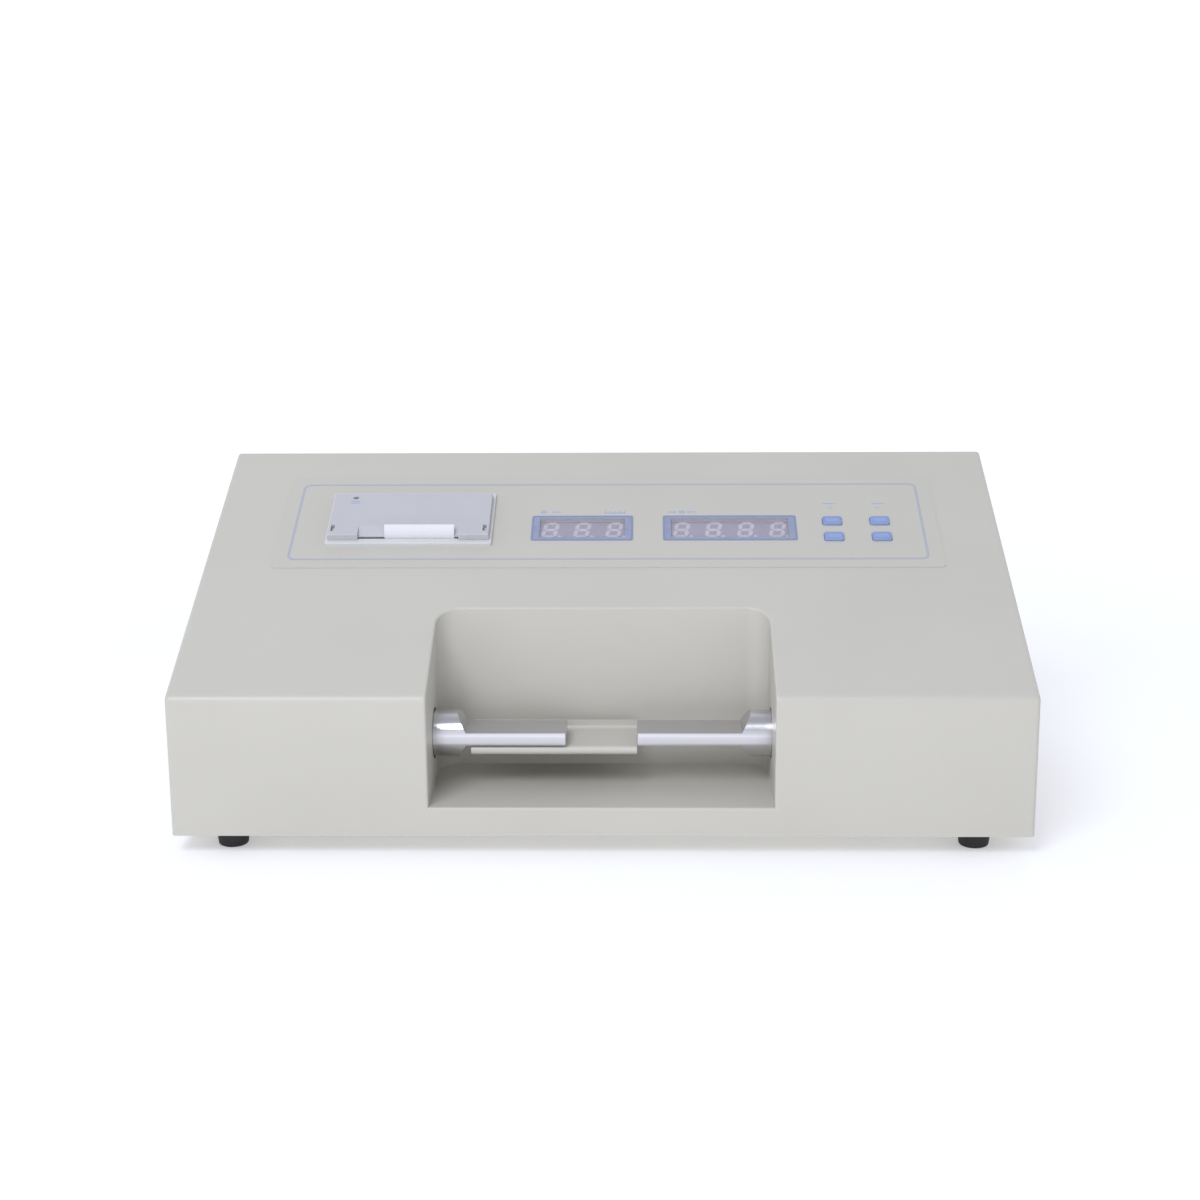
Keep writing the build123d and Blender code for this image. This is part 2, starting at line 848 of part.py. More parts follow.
with BuildPart() as force_bed:
    box_between(
        -bed_half_length, bed_half_length, post_low_y, post_high_y, floor_top_z, bed_top_z
    )
    with BuildSketch(Plane.XY.offset(floor_top_z)):
        with Locations(*frame_screw_places, *[place for place in foot_places if place[1] < 0]):
            Circle(m4_diameter / 2)
    extrude(amount=bed_thickness - sheet, mode=Mode.SUBTRACT)
    chamfer(force_bed.edges().filter_by(Axis.Z).group_by(SortBy.LENGTH)[-1], sheet)
finish(force_bed, "force_bed")

with BuildPart() as anvil_post:
    box_between(
        anvil_post_x, load_cell_end_x, post_low_y, post_high_y, bed_top_z, post_top_z
    )
    for rib_y in (post_low_y, post_high_y - gusset_thickness):
        with BuildSketch(Plane.XZ.offset(-rib_y)):
            with BuildLine():
                Polyline(
                    (anvil_post_x, bed_top_z),
                    (gusset_end_x, bed_top_z),
                    (anvil_post_x, bed_top_z + gusset_height),
                    close=True,
                )
            make_face()
        extrude(amount=-gusset_thickness)
    rod_x(spigot_diameter, anvil_post_x, load_cell_end_x, jaw_y, jaw_z, Mode.SUBTRACT)
finish(anvil_post, "anvil_post")

with BuildPart() as ram_post:
    box_between(
        ram_post_x, ram_post_end_x, post_low_y, post_high_y, bed_top_z, post_top_z
    )
    rod_x(bush_diameter, ram_post_x, ram_post_end_x, jaw_y, jaw_z, Mode.SUBTRACT)
    for rod_z in (jaw_z - guide_rod_offset, jaw_z + guide_rod_offset):
        rod_x(guide_rod_diameter, ram_post_x, ram_post_end_x, jaw_y, rod_z, Mode.SUBTRACT)
finish(ram_post, "ram_post")

drive_plate_high_y = pinion_y + motor_size / 2 + drive_plate_margin
with BuildPart() as drive_plate:
    box_between(
        drive_plate_x, drive_plate_end_x, post_low_y, drive_plate_high_y, bed_top_z, post_top_z
    )
    rod_x(bearing_diameter, drive_plate_x, drive_plate_end_x, jaw_y, jaw_z, Mode.SUBTRACT)
    for rod_z in (jaw_z - guide_rod_offset, jaw_z + guide_rod_offset):
        rod_x(guide_rod_diameter, drive_plate_x, drive_plate_end_x, jaw_y, rod_z, Mode.SUBTRACT)
    rod_x(
        motor_boss_diameter, drive_plate_x, drive_plate_end_x, pinion_y, jaw_z, Mode.SUBTRACT
    )
    chamfer(drive_plate.edges().filter_by(Axis.X).group_by(Axis.Z)[-1], 3 * sheet)
finish(drive_plate, "drive_plate")

with BuildPart() as load_cell:
    box_between(
        load_cell_end_x,
        anvil_end_x,
        jaw_y - load_cell_width / 2,
        jaw_y + load_cell_width / 2,
        jaw_z - load_cell_height / 2,
        jaw_z + load_cell_height / 2,
    )
    fillet(load_cell.edges().filter_by(Axis.Y), sheet)
    # Two slots and a middle bore make the S shape that flexes under load.
    cell_middle_x = (load_cell_end_x + anvil_end_x) / 2
    cell_faces = (jaw_y - load_cell_width, jaw_y + load_cell_width)
    box_between(
        cell_middle_x - load_cell_slot_offset - load_cell_slot,
        cell_middle_x - load_cell_slot_offset,
        *cell_faces,
        jaw_z + load_cell_height / 2 - load_cell_slot_reach,
        jaw_z + load_cell_height,
        mode=Mode.SUBTRACT,
    )
    box_between(
        cell_middle_x + load_cell_slot_offset,
        cell_middle_x + load_cell_slot_offset + load_cell_slot,
        *cell_faces,
        jaw_z - load_cell_height,
        jaw_z - load_cell_height / 2 + load_cell_slot_reach,
        mode=Mode.SUBTRACT,
    )
    with BuildSketch(Plane.XZ.offset(-jaw_y)):
        with Locations((cell_middle_x, jaw_z)):
            Circle(load_cell_bore / 2)
    extrude(amount=load_cell_width, both=True, mode=Mode.SUBTRACT)
    rod_x(
        spigot_diameter,
        anvil_end_x - spigot_length,
        anvil_end_x,
        jaw_y,
        jaw_z,
        Mode.SUBTRACT,
    )
    rod_x(
        spigot_diameter,
        load_cell_end_x,
        load_cell_end_x + load_bolt_reach - sheet,
        jaw_y,
        jaw_z,
        Mode.SUBTRACT,
    )
finish(load_cell, "load_cell")

with BuildPart() as frame_screws:
    with Locations(*[Location((x, y, base_z), (180, 0, 0)) for x, y in frame_screw_places]):
        pan_head(m4_diameter, m4_head, bed_thickness)
    rod_x(
        spigot_diameter,
        anvil_post_x,
        load_cell_end_x + load_bolt_reach - sheet,
        jaw_y,
        jaw_z,
    )
    rod_x(
        load_bolt_head, anvil_post_x - load_bolt_head_height, anvil_post_x, jaw_y, jaw_z
    )
    with BuildSketch(Plane.YZ.offset(anvil_post_x - load_bolt_head_height)):
        with Locations((jaw_y, jaw_z)):
            RegularPolygon(load_bolt_socket / 2, 6)
    extrude(amount=load_bolt_head_height / 2, mode=Mode.SUBTRACT)
finish(frame_screws, "frame_screws")


# ---------------------------------------------------------------- jaws
def blade_cut(tip_x, flat_end_x, round_x):
    """Mill the flats above and below a blade, with a sloped run-out to the round bar."""
    beyond = tip_x + math.copysign(jaw_bar_diameter, tip_x - flat_end_x)
    crest = jaw_bar_diameter / 2
    run = (round_x - flat_end_x) * cutter_overrun / (crest - blade_thickness / 2)
    for side in (-1, 1):
        with BuildSketch(Plane.XZ.offset(-jaw_y)) as waste:
            with BuildLine():
                Polyline(
                    (beyond, jaw_z + side * blade_thickness / 2),
                    (flat_end_x, jaw_z + side * blade_thickness / 2),
                    (round_x + run, jaw_z + side * (crest + cutter_overrun)),
                    (beyond, jaw_z + side * (crest + cutter_overrun)),
                    close=True,
                )
            make_face()
        extrude(waste.sketch, amount=jaw_bar_diameter, both=True, mode=Mode.SUBTRACT)


with BuildPart() as anvil_jaw:
    rod_x(jaw_bar_diameter, anvil_end_x, anvil_tip_x, jaw_y, jaw_z)
    blade_cut(anvil_tip_x, anvil_tip_x - anvil_blade_length, anvil_round_x)
    chamfer(anvil_jaw.faces().sort_by(Axis.X)[-1].edges(), blade_edge)
    rod_x(spigot_diameter, anvil_end_x - spigot_length, anvil_end_x, jaw_y, jaw_z)
finish(anvil_jaw, "anvil_jaw")

with BuildPart() as ram_jaw:
    rod_x(jaw_bar_diameter, ram_tip_x, carriage_end_x, jaw_y, jaw_z)
    blade_cut(ram_tip_x, ram_tip_x + ram_blade_length, ram_round_x)
    chamfer(ram_jaw.faces().sort_by(Axis.X)[0].edges(), blade_edge)
    # Bored from the back for the lead screw and its nut.
    rod_x(
        screw_bore_diameter,
        screw_tip_x - sheet,
        carriage_end_x,
        jaw_y,
        jaw_z,
        Mode.SUBTRACT,
    )
    rod_x(
        nut_body_diameter, carriage_end_x - nut_depth, carriage_end_x, jaw_y, jaw_z, Mode.SUBTRACT
    )
finish(ram_jaw, "ram_jaw")

with BuildPart() as ram_bush:
    rod_x(bush_diameter, bush_start_x, ram_post_end_x, jaw_y, jaw_z)
    rod_x(bush_flange_diameter, ram_post_end_x, bush_flange_end_x, jaw_y, jaw_z)
    rod_x(
        jaw_bar_diameter + 2 * running_clearance,
        bush_start_x,
        bush_flange_end_x,
        jaw_y,
        jaw_z,
        Mode.SUBTRACT,
    )
finish(ram_bush, "ram_bush")

# ---------------------------------------------------------------- tablet tray
tray_left_x = anvil_tip_x - tray_reach
tray_right_x = ram_tip_x
tray_roll_y = tray_front_y + tray_roll_radius
tray_under_z = tray_z - tray_sheet
bracket_low_z = tray_z - bracket_drop
with BuildPart() as tablet_tray:
    # A lip behind, the floor under the blades and a rolled front edge, bent from one sheet.
    with BuildSketch(Plane.YZ.offset(tray_left_x)):
        with BuildLine() as tray_line:
            FilletPolyline(
                (tray_rear_y, tray_z + tray_lip),
                (tray_rear_y, tray_z),
                (tray_roll_y, tray_z),
                radius=tray_bend,
            )
            CenterArc(
                (tray_roll_y, tray_z - tray_roll_radius), tray_roll_radius, 90, tray_roll_angle
            )
            offset(tray_line.line, amount=tray_sheet, side=Side.LEFT)
        make_face()
    extrude(amount=tray_right_x - tray_left_x)
    # The bracket that holds it to the well's back wall, welded under its floor.
    box_between(
        bracket_x - bracket_width / 2,
        bracket_x + bracket_width / 2,
        jaw_y - bracket_sheet,
        well_back_y,
        tray_under_z - bracket_sheet,
        tray_under_z,
    )
    box_between(
        bracket_x - bracket_width / 2,
        bracket_x + bracket_width / 2,
        well_back_y - bracket_sheet,
        well_back_y,
        bracket_low_z,
        tray_under_z,
    )
    for screw_x in bracket_screw_places:
        with BuildSketch(Plane.XZ.offset(-well_back_y)):
            with Locations((screw_x, bracket_screw_z)):
                Circle(m3_diameter / 2)
        extrude(amount=bracket_sheet, mode=Mode.SUBTRACT)
finish(tablet_tray, "tablet_tray")

# ---------------------------------------------------------------- ram drive
guide_heights = (jaw_z - guide_rod_offset, jaw_z + guide_rod_offset)
with BuildPart() as guide_rods:
    for rod_z in guide_heights:
        rod_x(guide_rod_diameter, ram_post_x, drive_plate_end_x, jaw_y, rod_z)
finish(guide_rods, "guide_rods")

with BuildPart() as carriage:
    box_between(
        carriage_x,
        carriage_end_x,
        jaw_y - carriage_width / 2,
        jaw_y + carriage_width / 2,
        jaw_z - carriage_half_height,
        jaw_z + carriage_half_height,
    )
    fillet(carriage.edges().filter_by(Axis.X), carriage_margin / 2)
    rod_x(jaw_bar_diameter, carriage_x, carriage_end_x, jaw_y, jaw_z, Mode.SUBTRACT)
    for rod_z in guide_heights:
        rod_x(guide_bush_diameter, carriage_x, carriage_end_x, jaw_y, rod_z, Mode.SUBTRACT)
    # The flag that the limit switches feel.
    box_between(
        carriage_x + carriage_thickness / 2 - flag_width / 2,
        carriage_x + carriage_thickness / 2 + flag_width / 2,
        post_low_y + switch_depth + flag_gap,
        jaw_y - carriage_width / 2,
        rail_z - switch_height / 2,
        rail_z + switch_height / 2,
    )
finish(carriage, "carriage")

with BuildPart() as carriage_bushes:
    for rod_z in guide_heights:
        rod_x(guide_bush_diameter, carriage_x, carriage_end_x, jaw_y, rod_z)
        rod_x(
            guide_rod_diameter + 2 * running_clearance,
            carriage_x,
            carriage_end_x,
            jaw_y,
            rod_z,
            Mode.SUBTRACT,
        )
finish(carriage_bushes, "carriage_bushes")

with BuildPart() as lead_nut:
    rod_x(nut_body_diameter, carriage_end_x - nut_depth, carriage_end_x, jaw_y, jaw_z)
    rod_x(nut_flange_diameter, carriage_end_x, nut_end_x, jaw_y, jaw_z)
    rod_x(
        screw_diameter + 2 * running_clearance,
        carriage_end_x - nut_depth,
        nut_end_x,
        jaw_y,
        jaw_z,
        Mode.SUBTRACT,
    )
finish(lead_nut, "lead_nut")

with BuildPart() as lead_screw:
    rod_x(screw_diameter, screw_tip_x, drive_plate_x - seat_gap, jaw_y, jaw_z)
    chamfer(lead_screw.faces().sort_by(Axis.X)[0].edges(), screw_tip_chamfer)
    rod_x(
        journal_diameter - 2 * journal_clearance,
        drive_plate_x - seat_gap,
        screw_end_x,
        jaw_y,
        jaw_z,
    )
finish(lead_screw, "lead_screw")

with BuildPart() as screw_bearings:
    for bearing_x in (drive_plate_x, drive_plate_x + bearing_width):
        rod_x(bearing_diameter, bearing_x, bearing_x + bearing_width, jaw_y, jaw_z)
    rod_x(
        journal_diameter, drive_plate_x, drive_plate_end_x, jaw_y, jaw_z, Mode.SUBTRACT
    )
    # The shields lie a little below the rings.
    for shield_x in (drive_plate_x, drive_plate_end_x - shield_depth):
        with BuildSketch(Plane.YZ.offset(shield_x)):
            with Locations((jaw_y, jaw_z)):
                Circle(bearing_diameter / 2 - bearing_ring)
                Circle(journal_diameter / 2 + bearing_ring, mode=Mode.SUBTRACT)
        extrude(amount=shield_depth, mode=Mode.SUBTRACT)
finish(screw_bearings, "screw_bearings")


def tooth_half_angle(teeth, radius):
    """Half the angle that a tooth's flanks span at a radius, with its share of backlash."""
    pitch_radius = gear_module * teeth / 2
    pressure = math.radians(pressure_angle)
    base_radius = pitch_radius * math.cos(pressure)
    at_radius = math.acos(min(1.0, base_radius / radius))
    half_at_pitch = math.pi / (2 * teeth) - backlash / (2 * pitch_radius)
    return half_at_pitch + math.tan(pressure) - pressure - math.tan(at_radius) + at_radius


def gear_outline(teeth, turn):
    """Draw a spur gear. Each flank is an arc through the foot, middle and tip of its
    involute, and turn is the angle of the first tooth in degrees."""
    pitch_radius = gear_module * teeth / 2
    base_radius = pitch_radius * math.cos(math.radians(pressure_angle))
    tip_radius = pitch_radius + gear_module
    root_radius = pitch_radius - 1.25 * gear_module
    foot_radius = max(root_radius, base_radius)
    middle_radius = (foot_radius + tip_radius) / 2

    def polar(radius, angle):
        return (radius * math.cos(angle), radius * math.sin(angle))

    for tooth in range(teeth):
        middle = math.radians(turn) + 2 * math.pi * tooth / teeth
        following = middle + 2 * math.pi / teeth
        foot = tooth_half_angle(teeth, foot_radius)
        waist = tooth_half_angle(teeth, middle_radius)
        tip = tooth_half_angle(teeth, tip_radius)
        if foot_radius > root_radius:
            Line(polar(root_radius, middle - foot), polar(foot_radius, middle - foot))
        ThreePointArc(
            polar(foot_radius, middle - foot),
            polar(middle_radius, middle - waist),
            polar(tip_radius, middle - tip),
        )
        Line(polar(tip_radius, middle - tip), polar(tip_radius, middle + tip))
        ThreePointArc(
            polar(tip_radius, middle + tip),
            polar(middle_radius, middle + waist),
            polar(foot_radius, middle + foot),
        )
        if foot_radius > root_radius:
            Line(polar(foot_radius, middle + foot), polar(root_radius, middle + foot))
        Line(polar(root_radius, middle + foot), polar(root_radius, following - foot))


with BuildPart() as drive_gear:
    gear_plane = Plane(origin=(gear_x, jaw_y, jaw_z), x_dir=(0, 1, 0), z_dir=(1, 0, 0))
    with BuildSketch(gear_plane):
        with BuildLine():
            gear_outline(gear_teeth, 180 / gear_teeth)
        make_face()
    extrude(amount=gear_width)
    # A thin web between the rim and the hub, with a ring of lightening holes.
    rim_radius = gear_module * gear_teeth / 2 - gear_rim
    for face_x in (gear_x, gear_end_x - (gear_width - gear_web) / 2):
        with BuildSketch(Plane.YZ.offset(face_x)):
            with Locations((jaw_y, jaw_z)):
                Circle(rim_radius)
                Circle(gear_hub_diameter / 2, mode=Mode.SUBTRACT)
        extrude(amount=(gear_width - gear_web) / 2, mode=Mode.SUBTRACT)
    with BuildSketch(Plane.YZ.offset(gear_x)):
        with Locations((jaw_y, jaw_z)):
            with PolarLocations((rim_radius + gear_hub_diameter / 2) / 2, gear_hole_count):
                Circle(gear_hole_diameter / 2)
    extrude(amount=gear_width, mode=Mode.SUBTRACT)
    rod_x(gear_hub_diameter, drive_plate_end_x + seat_gap, gear_x + gear_width, jaw_y, jaw_z)
    rod_x(
        journal_diameter - 2 * journal_clearance,
        drive_plate_end_x,
        gear_end_x,
        jaw_y,
        jaw_z,
        Mode.SUBTRACT,
    )
finish(drive_gear, "drive_gear")

with BuildPart() as lock_nut:
    with BuildSketch(Plane.YZ.offset(gear_end_x)):
        with Locations((jaw_y, jaw_z)):
            RegularPolygon(lock_nut_width / 2, 6, major_radius=False)
            Circle(journal_diameter / 2 - journal_clearance, mode=Mode.SUBTRACT)
    extrude(amount=lock_nut_thickness)
finish(lock_nut, "lock_nut")

shaft_start_x = drive_plate_x - motor_shaft_depth
with BuildPart() as drive_pinion:
    pinion_plane = Plane(
        origin=(gear_x - pinion_overlap, pinion_y, jaw_z), x_dir=(0, 1, 0), z_dir=(1, 0, 0)
    )
    with BuildSketch(pinion_plane):
        with BuildLine():
            gear_outline(pinion_teeth, 180)
        make_face()
    extrude(amount=gear_width + 2 * pinion_overlap)
    rod_x(motor_shaft_diameter, shaft_start_x, gear_end_x + 2 * pinion_overlap, pinion_y, jaw_z)
finish(drive_pinion, "drive_pinion")

with BuildPart() as motor:
    box_between(
        drive_plate_x - motor_length,
        drive_plate_x,
        pinion_y - motor_size / 2,
        pinion_y + motor_size / 2,
        jaw_z - motor_size / 2,
        jaw_z + motor_size / 2,
    )
    chamfer(motor.edges().filter_by(Axis.X), motor_chamfer)
    rod_x(
        motor_boss_diameter,
        drive_plate_x,
        drive_plate_x + motor_boss_height,
        pinion_y,
        jaw_z,
    )
    rod_x(
        motor_shaft_diameter + 2 * running_clearance,
        shaft_start_x - seat_gap,
        drive_plate_x + motor_boss_height,
        pinion_y,
        jaw_z,
        Mode.SUBTRACT,
    )
finish(motor, "motor")

rail_front_y = post_low_y - rail_thickness
home_switch_x = carriage_end_x - switch_length / 2
end_switch_x = home_switch_x - ram_stroke
with BuildPart() as switch_rail:
    box_between(
        ram_post_x,
        drive_plate_end_x,
        rail_front_y,
        post_low_y,
        rail_z - rail_height / 2,
        rail_z + rail_height / 2,
    )
finish(switch_rail, "switch_rail")

with BuildPart() as limit_switches:
    for switch_centre_x in (home_switch_x, end_switch_x):
        box_between(
            switch_centre_x - switch_length / 2,
            switch_centre_x + switch_length / 2,
            post_low_y,
            post_low_y + switch_depth,
            rail_z - switch_height / 2,
            rail_z + switch_height / 2,
        )
    fillet(limit_switches.edges().filter_by(Axis.Y), switch_edge_radius)
finish(limit_switches, "limit_switches")

# ---------------------------------------------------------------- control panel
overlay_x = (overlay_left + overlay_right) / 2
overlay_s = (overlay_low + overlay_high) / 2
with BuildPart() as control_overlay:
    with BuildSketch(on_slope(overlay_x, overlay_s)):
        RectangleRounded(
            overlay_right - overlay_left, overlay_high - overlay_low, overlay_corner_radius
        )
    extrude(amount=overlay_thickness)
    with BuildSketch(slope_plane):
        with Locations((printer_x, bay_centre_s)):
            Rectangle(bay_width + 2 * seat_gap, bay_length + 2 * seat_gap)
        for centre_x, width, digit_count in displays:
            with Locations((centre_x, display_centre_s)):
                Rectangle(width - 2 * bezel_border_x, window_height)
        with Locations(*key_places):
            RectangleRounded(
                key_width + 2 * key_side_gap,
                key_length + 2 * key_side_gap,
                key_corner_radius + key_side_gap,
            )
        with Locations(*lamp_places):
            Circle(lamp_diameter / 2)
    extrude(amount=overlay_thickness, mode=Mode.SUBTRACT)
finish(control_overlay, "control_overlay")


# One digit: seven bevelled bars and a point, leaning to the right.
bar_length_x = digit_width - segment_width
bar_length_y = (digit_height - segment_width) / 2


def segment_bar(x, y, length, upright):
    """A bar with pointed ends, as in a seven-segment digit, leaning with the digit."""
    half = length / 2 - segment_gap
    thick = segment_width / 2
    outline = [
        (-half, 0),
        (thick - half, thick),
        (half - thick, thick),
        (half, 0),
        (half - thick, -thick),
        (thick - half, -thick),
    ]
    if upright:
        outline = [(-b, a) for a, b in outline]
    lean = math.tan(math.radians(digit_lean))
    with BuildLine() as rim:
        Polyline(*[(x + a + (y + b) * lean, y + b) for a, b in outline], close=True)
    make_face(rim.edges())


with BuildSketch(Plane.XY) as digit_face:
    for bar_y in (-bar_length_y, 0, bar_length_y):
        segment_bar(0, bar_y, bar_length_x, False)
    for bar_x in (-bar_length_x / 2, bar_length_x / 2):
        for bar_y in (-bar_length_y / 2, bar_length_y / 2):
            segment_bar(bar_x, bar_y, bar_length_y, True)
    with Locations((digit_width / 2 + point_offset, -bar_length_y)):
        Circle(segment_width / 2)

with BuildPart() as display_bezels:
    for centre_x, width, digit_count in displays:
        with BuildSketch(on_slope(centre_x, display_centre_s, overlay_thickness)):
            RectangleRounded(width, display_height, bezel_corner_radius)
            Rectangle(width - 2 * bezel_border_x, window_height, mode=Mode.SUBTRACT)
        extrude(amount=bezel_thickness)
finish(display_bezels, "display_bezels")

with BuildPart() as display_lenses:
    for centre_x, width, digit_count in displays:
        with BuildSketch(on_slope(centre_x, display_centre_s, overlay_thickness)):
            Rectangle(width - 2 * bezel_border_x - lens_gap, window_height - lens_gap)
        extrude(amount=-lens_thickness)
finish(display_lenses, "display_lenses")

with BuildPart() as display_modules:
    for centre_x, width, digit_count in displays:
        with BuildSketch(on_slope(centre_x, display_centre_s, -sheet - module_gap)):
            Rectangle(width - 2 * bezel_border_x, display_height)
        extrude(amount=-module_depth)
finish(display_modules, "display_modules")

with BuildPart() as display_digits:
    for centre_x, width, digit_count in displays:
        with BuildSketch(on_slope(centre_x, digit_centre_s, -sheet - module_gap)):
            with GridLocations(digit_pitch, 1, digit_count, 1):
                add(digit_face.sketch)
        extrude(amount=segment_thickness)
finish(display_digits, "display_digits")

board_left = board_stud_places[0][0] - stud_diameter
board_right = board_stud_places[-1][0] + stud_diameter
board_low = board_stud_places[0][1] - stud_diameter
board_high = board_stud_places[-1][1] + stud_diameter
board_width = board_right - board_left
board_length = board_high - board_low
with BuildPart() as display_board:
    with BuildSketch(
        on_slope((board_left + board_right) / 2, (board_low + board_high) / 2, board_top)
    ):
        Rectangle(board_width, board_length)
    extrude(amount=-board_thickness)
finish(display_board, "display_board")

key_names = {
    (0, 0): "lower_left_key",
    (0, 1): "upper_left_key",
    (1, 0): "lower_right_key",
    (1, 1): "upper_right_key",
}
stem_bottom = board_top + key_switch_height + key_travel + running_clearance
for (column, row), key_name in key_names.items():
    key_x = key_columns_x[column]
    key_s = key_rows_s[row]
    with BuildPart() as key:
        with BuildSketch(on_slope(key_x, key_s, overlay_thickness + key_rise)):
            RectangleRounded(key_width, key_length, key_corner_radius)
        extrude(amount=-(overlay_thickness + key_rise + sheet + key_side_gap))
        crown = key.faces().sort_by(slope_out)[-1]
        fillet(crown.edges(), key_rise / 2)
        flange_height = -sheet - key_side_gap
        with BuildSketch(on_slope(key_x, key_s, flange_height)):
            RectangleRounded(
                key_width + 2 * key_flange, key_length + 2 * key_flange, key_corner_radius
            )
        extrude(amount=-key_flange_thickness)
        with BuildSketch(on_slope(key_x, key_s, stem_bottom)):
            Circle(key_stem_diameter / 2)
        extrude(amount=flange_height - stem_bottom)
    finish(key, key_name)

with BuildPart() as key_switches:
    for key_x, key_s in key_places:
        with BuildSketch(on_slope(key_x, key_s, board_top)):
            Rectangle(key_switch_size, key_switch_size)
        extrude(amount=key_switch_height - plunger_height)
        with BuildSketch(on_slope(key_x, key_s, board_top)):
            Circle(plunger_diameter / 2)
        extrude(amount=key_switch_height)
finish(key_switches, "key_switches")

with BuildPart() as indicator_lamps:
    for lamp_x, lamp_s in lamp_places:
        with BuildSketch(on_slope(lamp_x, lamp_s, board_top)):
            Circle(lamp_body_diameter / 2)
        extrude(amount=-board_top - sheet - module_gap)
        with BuildSketch(on_slope(lamp_x, lamp_s, board_top)):
            Circle(lamp_diameter / 2 - running_clearance)
        extrude(amount=overlay_thickness - board_top)
finish(indicator_lamps, "indicator_lamps")

# ---------------------------------------------------------------- printer
with BuildPart() as printer_frame:
    with BuildSketch(on_slope(printer_x, printer_centre_s, overlay_thickness)):
        RectangleRounded(printer_width, printer_length, printer_corner_radius)
    extrude(amount=printer_flange)
    top_rim = printer_frame.faces().sort_by(slope_out)[-1]
    fillet(top_rim.edges(), cover_edge_radius)
    with BuildSketch(on_slope(printer_x, bay_centre_s, overlay_thickness)):
        Rectangle(bay_width, bay_length)
    extrude(amount=-bay_depth)
    with BuildSketch(on_slope(printer_x, bay_centre_s, flange_top)):
        Rectangle(bay_inner_width, bay_inner_length)
    extrude(amount=-(bay_depth + printer_flange - bay_wall), mode=Mode.SUBTRACT)
    # Two ears stand in pockets under the cover's rear edge and carry its hinge pins.
    for side in (-1, 1):
        with BuildSketch(beside_slope(printer_x + side * hinge_offset - ear_thickness / 2)):
            with Locations((hinge_s, hinge_height)):
                Circle(ear_diameter / 2)
            with Locations((hinge_s, (flange_top + hinge_height) / 2)):
                Rectangle(ear_diameter, hinge_height - flange_top)
        extrude(amount=ear_thickness)
    with BuildSketch(beside_slope(printer_x)):
        with Locations((hinge_s, hinge_height)):
            Circle(hinge_pin_diameter / 2)
    extrude(amount=printer_width, both=True, mode=Mode.SUBTRACT)
    # Latches that stand in the cover's two slots.
    for side in (-1, 1):
        with BuildSketch(on_slope(printer_x + side * latch_offset, latch_s, flange_top)):
            SlotOverall(
                latch_slot_length - 2 * latch_gap,
                latch_slot_width - 2 * latch_gap,
                rotation=90,
            )
        extrude(amount=cover_top - flange_top - latch_drop)
    # Holes for the spindle and the platen's shaft through the bay's side walls.
    with BuildSketch(beside_slope(printer_x)):
        with Locations((roll_s, -roll_depth)):
            Circle(spindle_end_diameter / 2)
        with Locations((platen_s, -platen_depth)):
            Circle(platen_shaft_diameter / 2 + running_clearance)
    extrude(amount=printer_width, both=True, mode=Mode.SUBTRACT)
finish(printer_frame, "printer_frame")

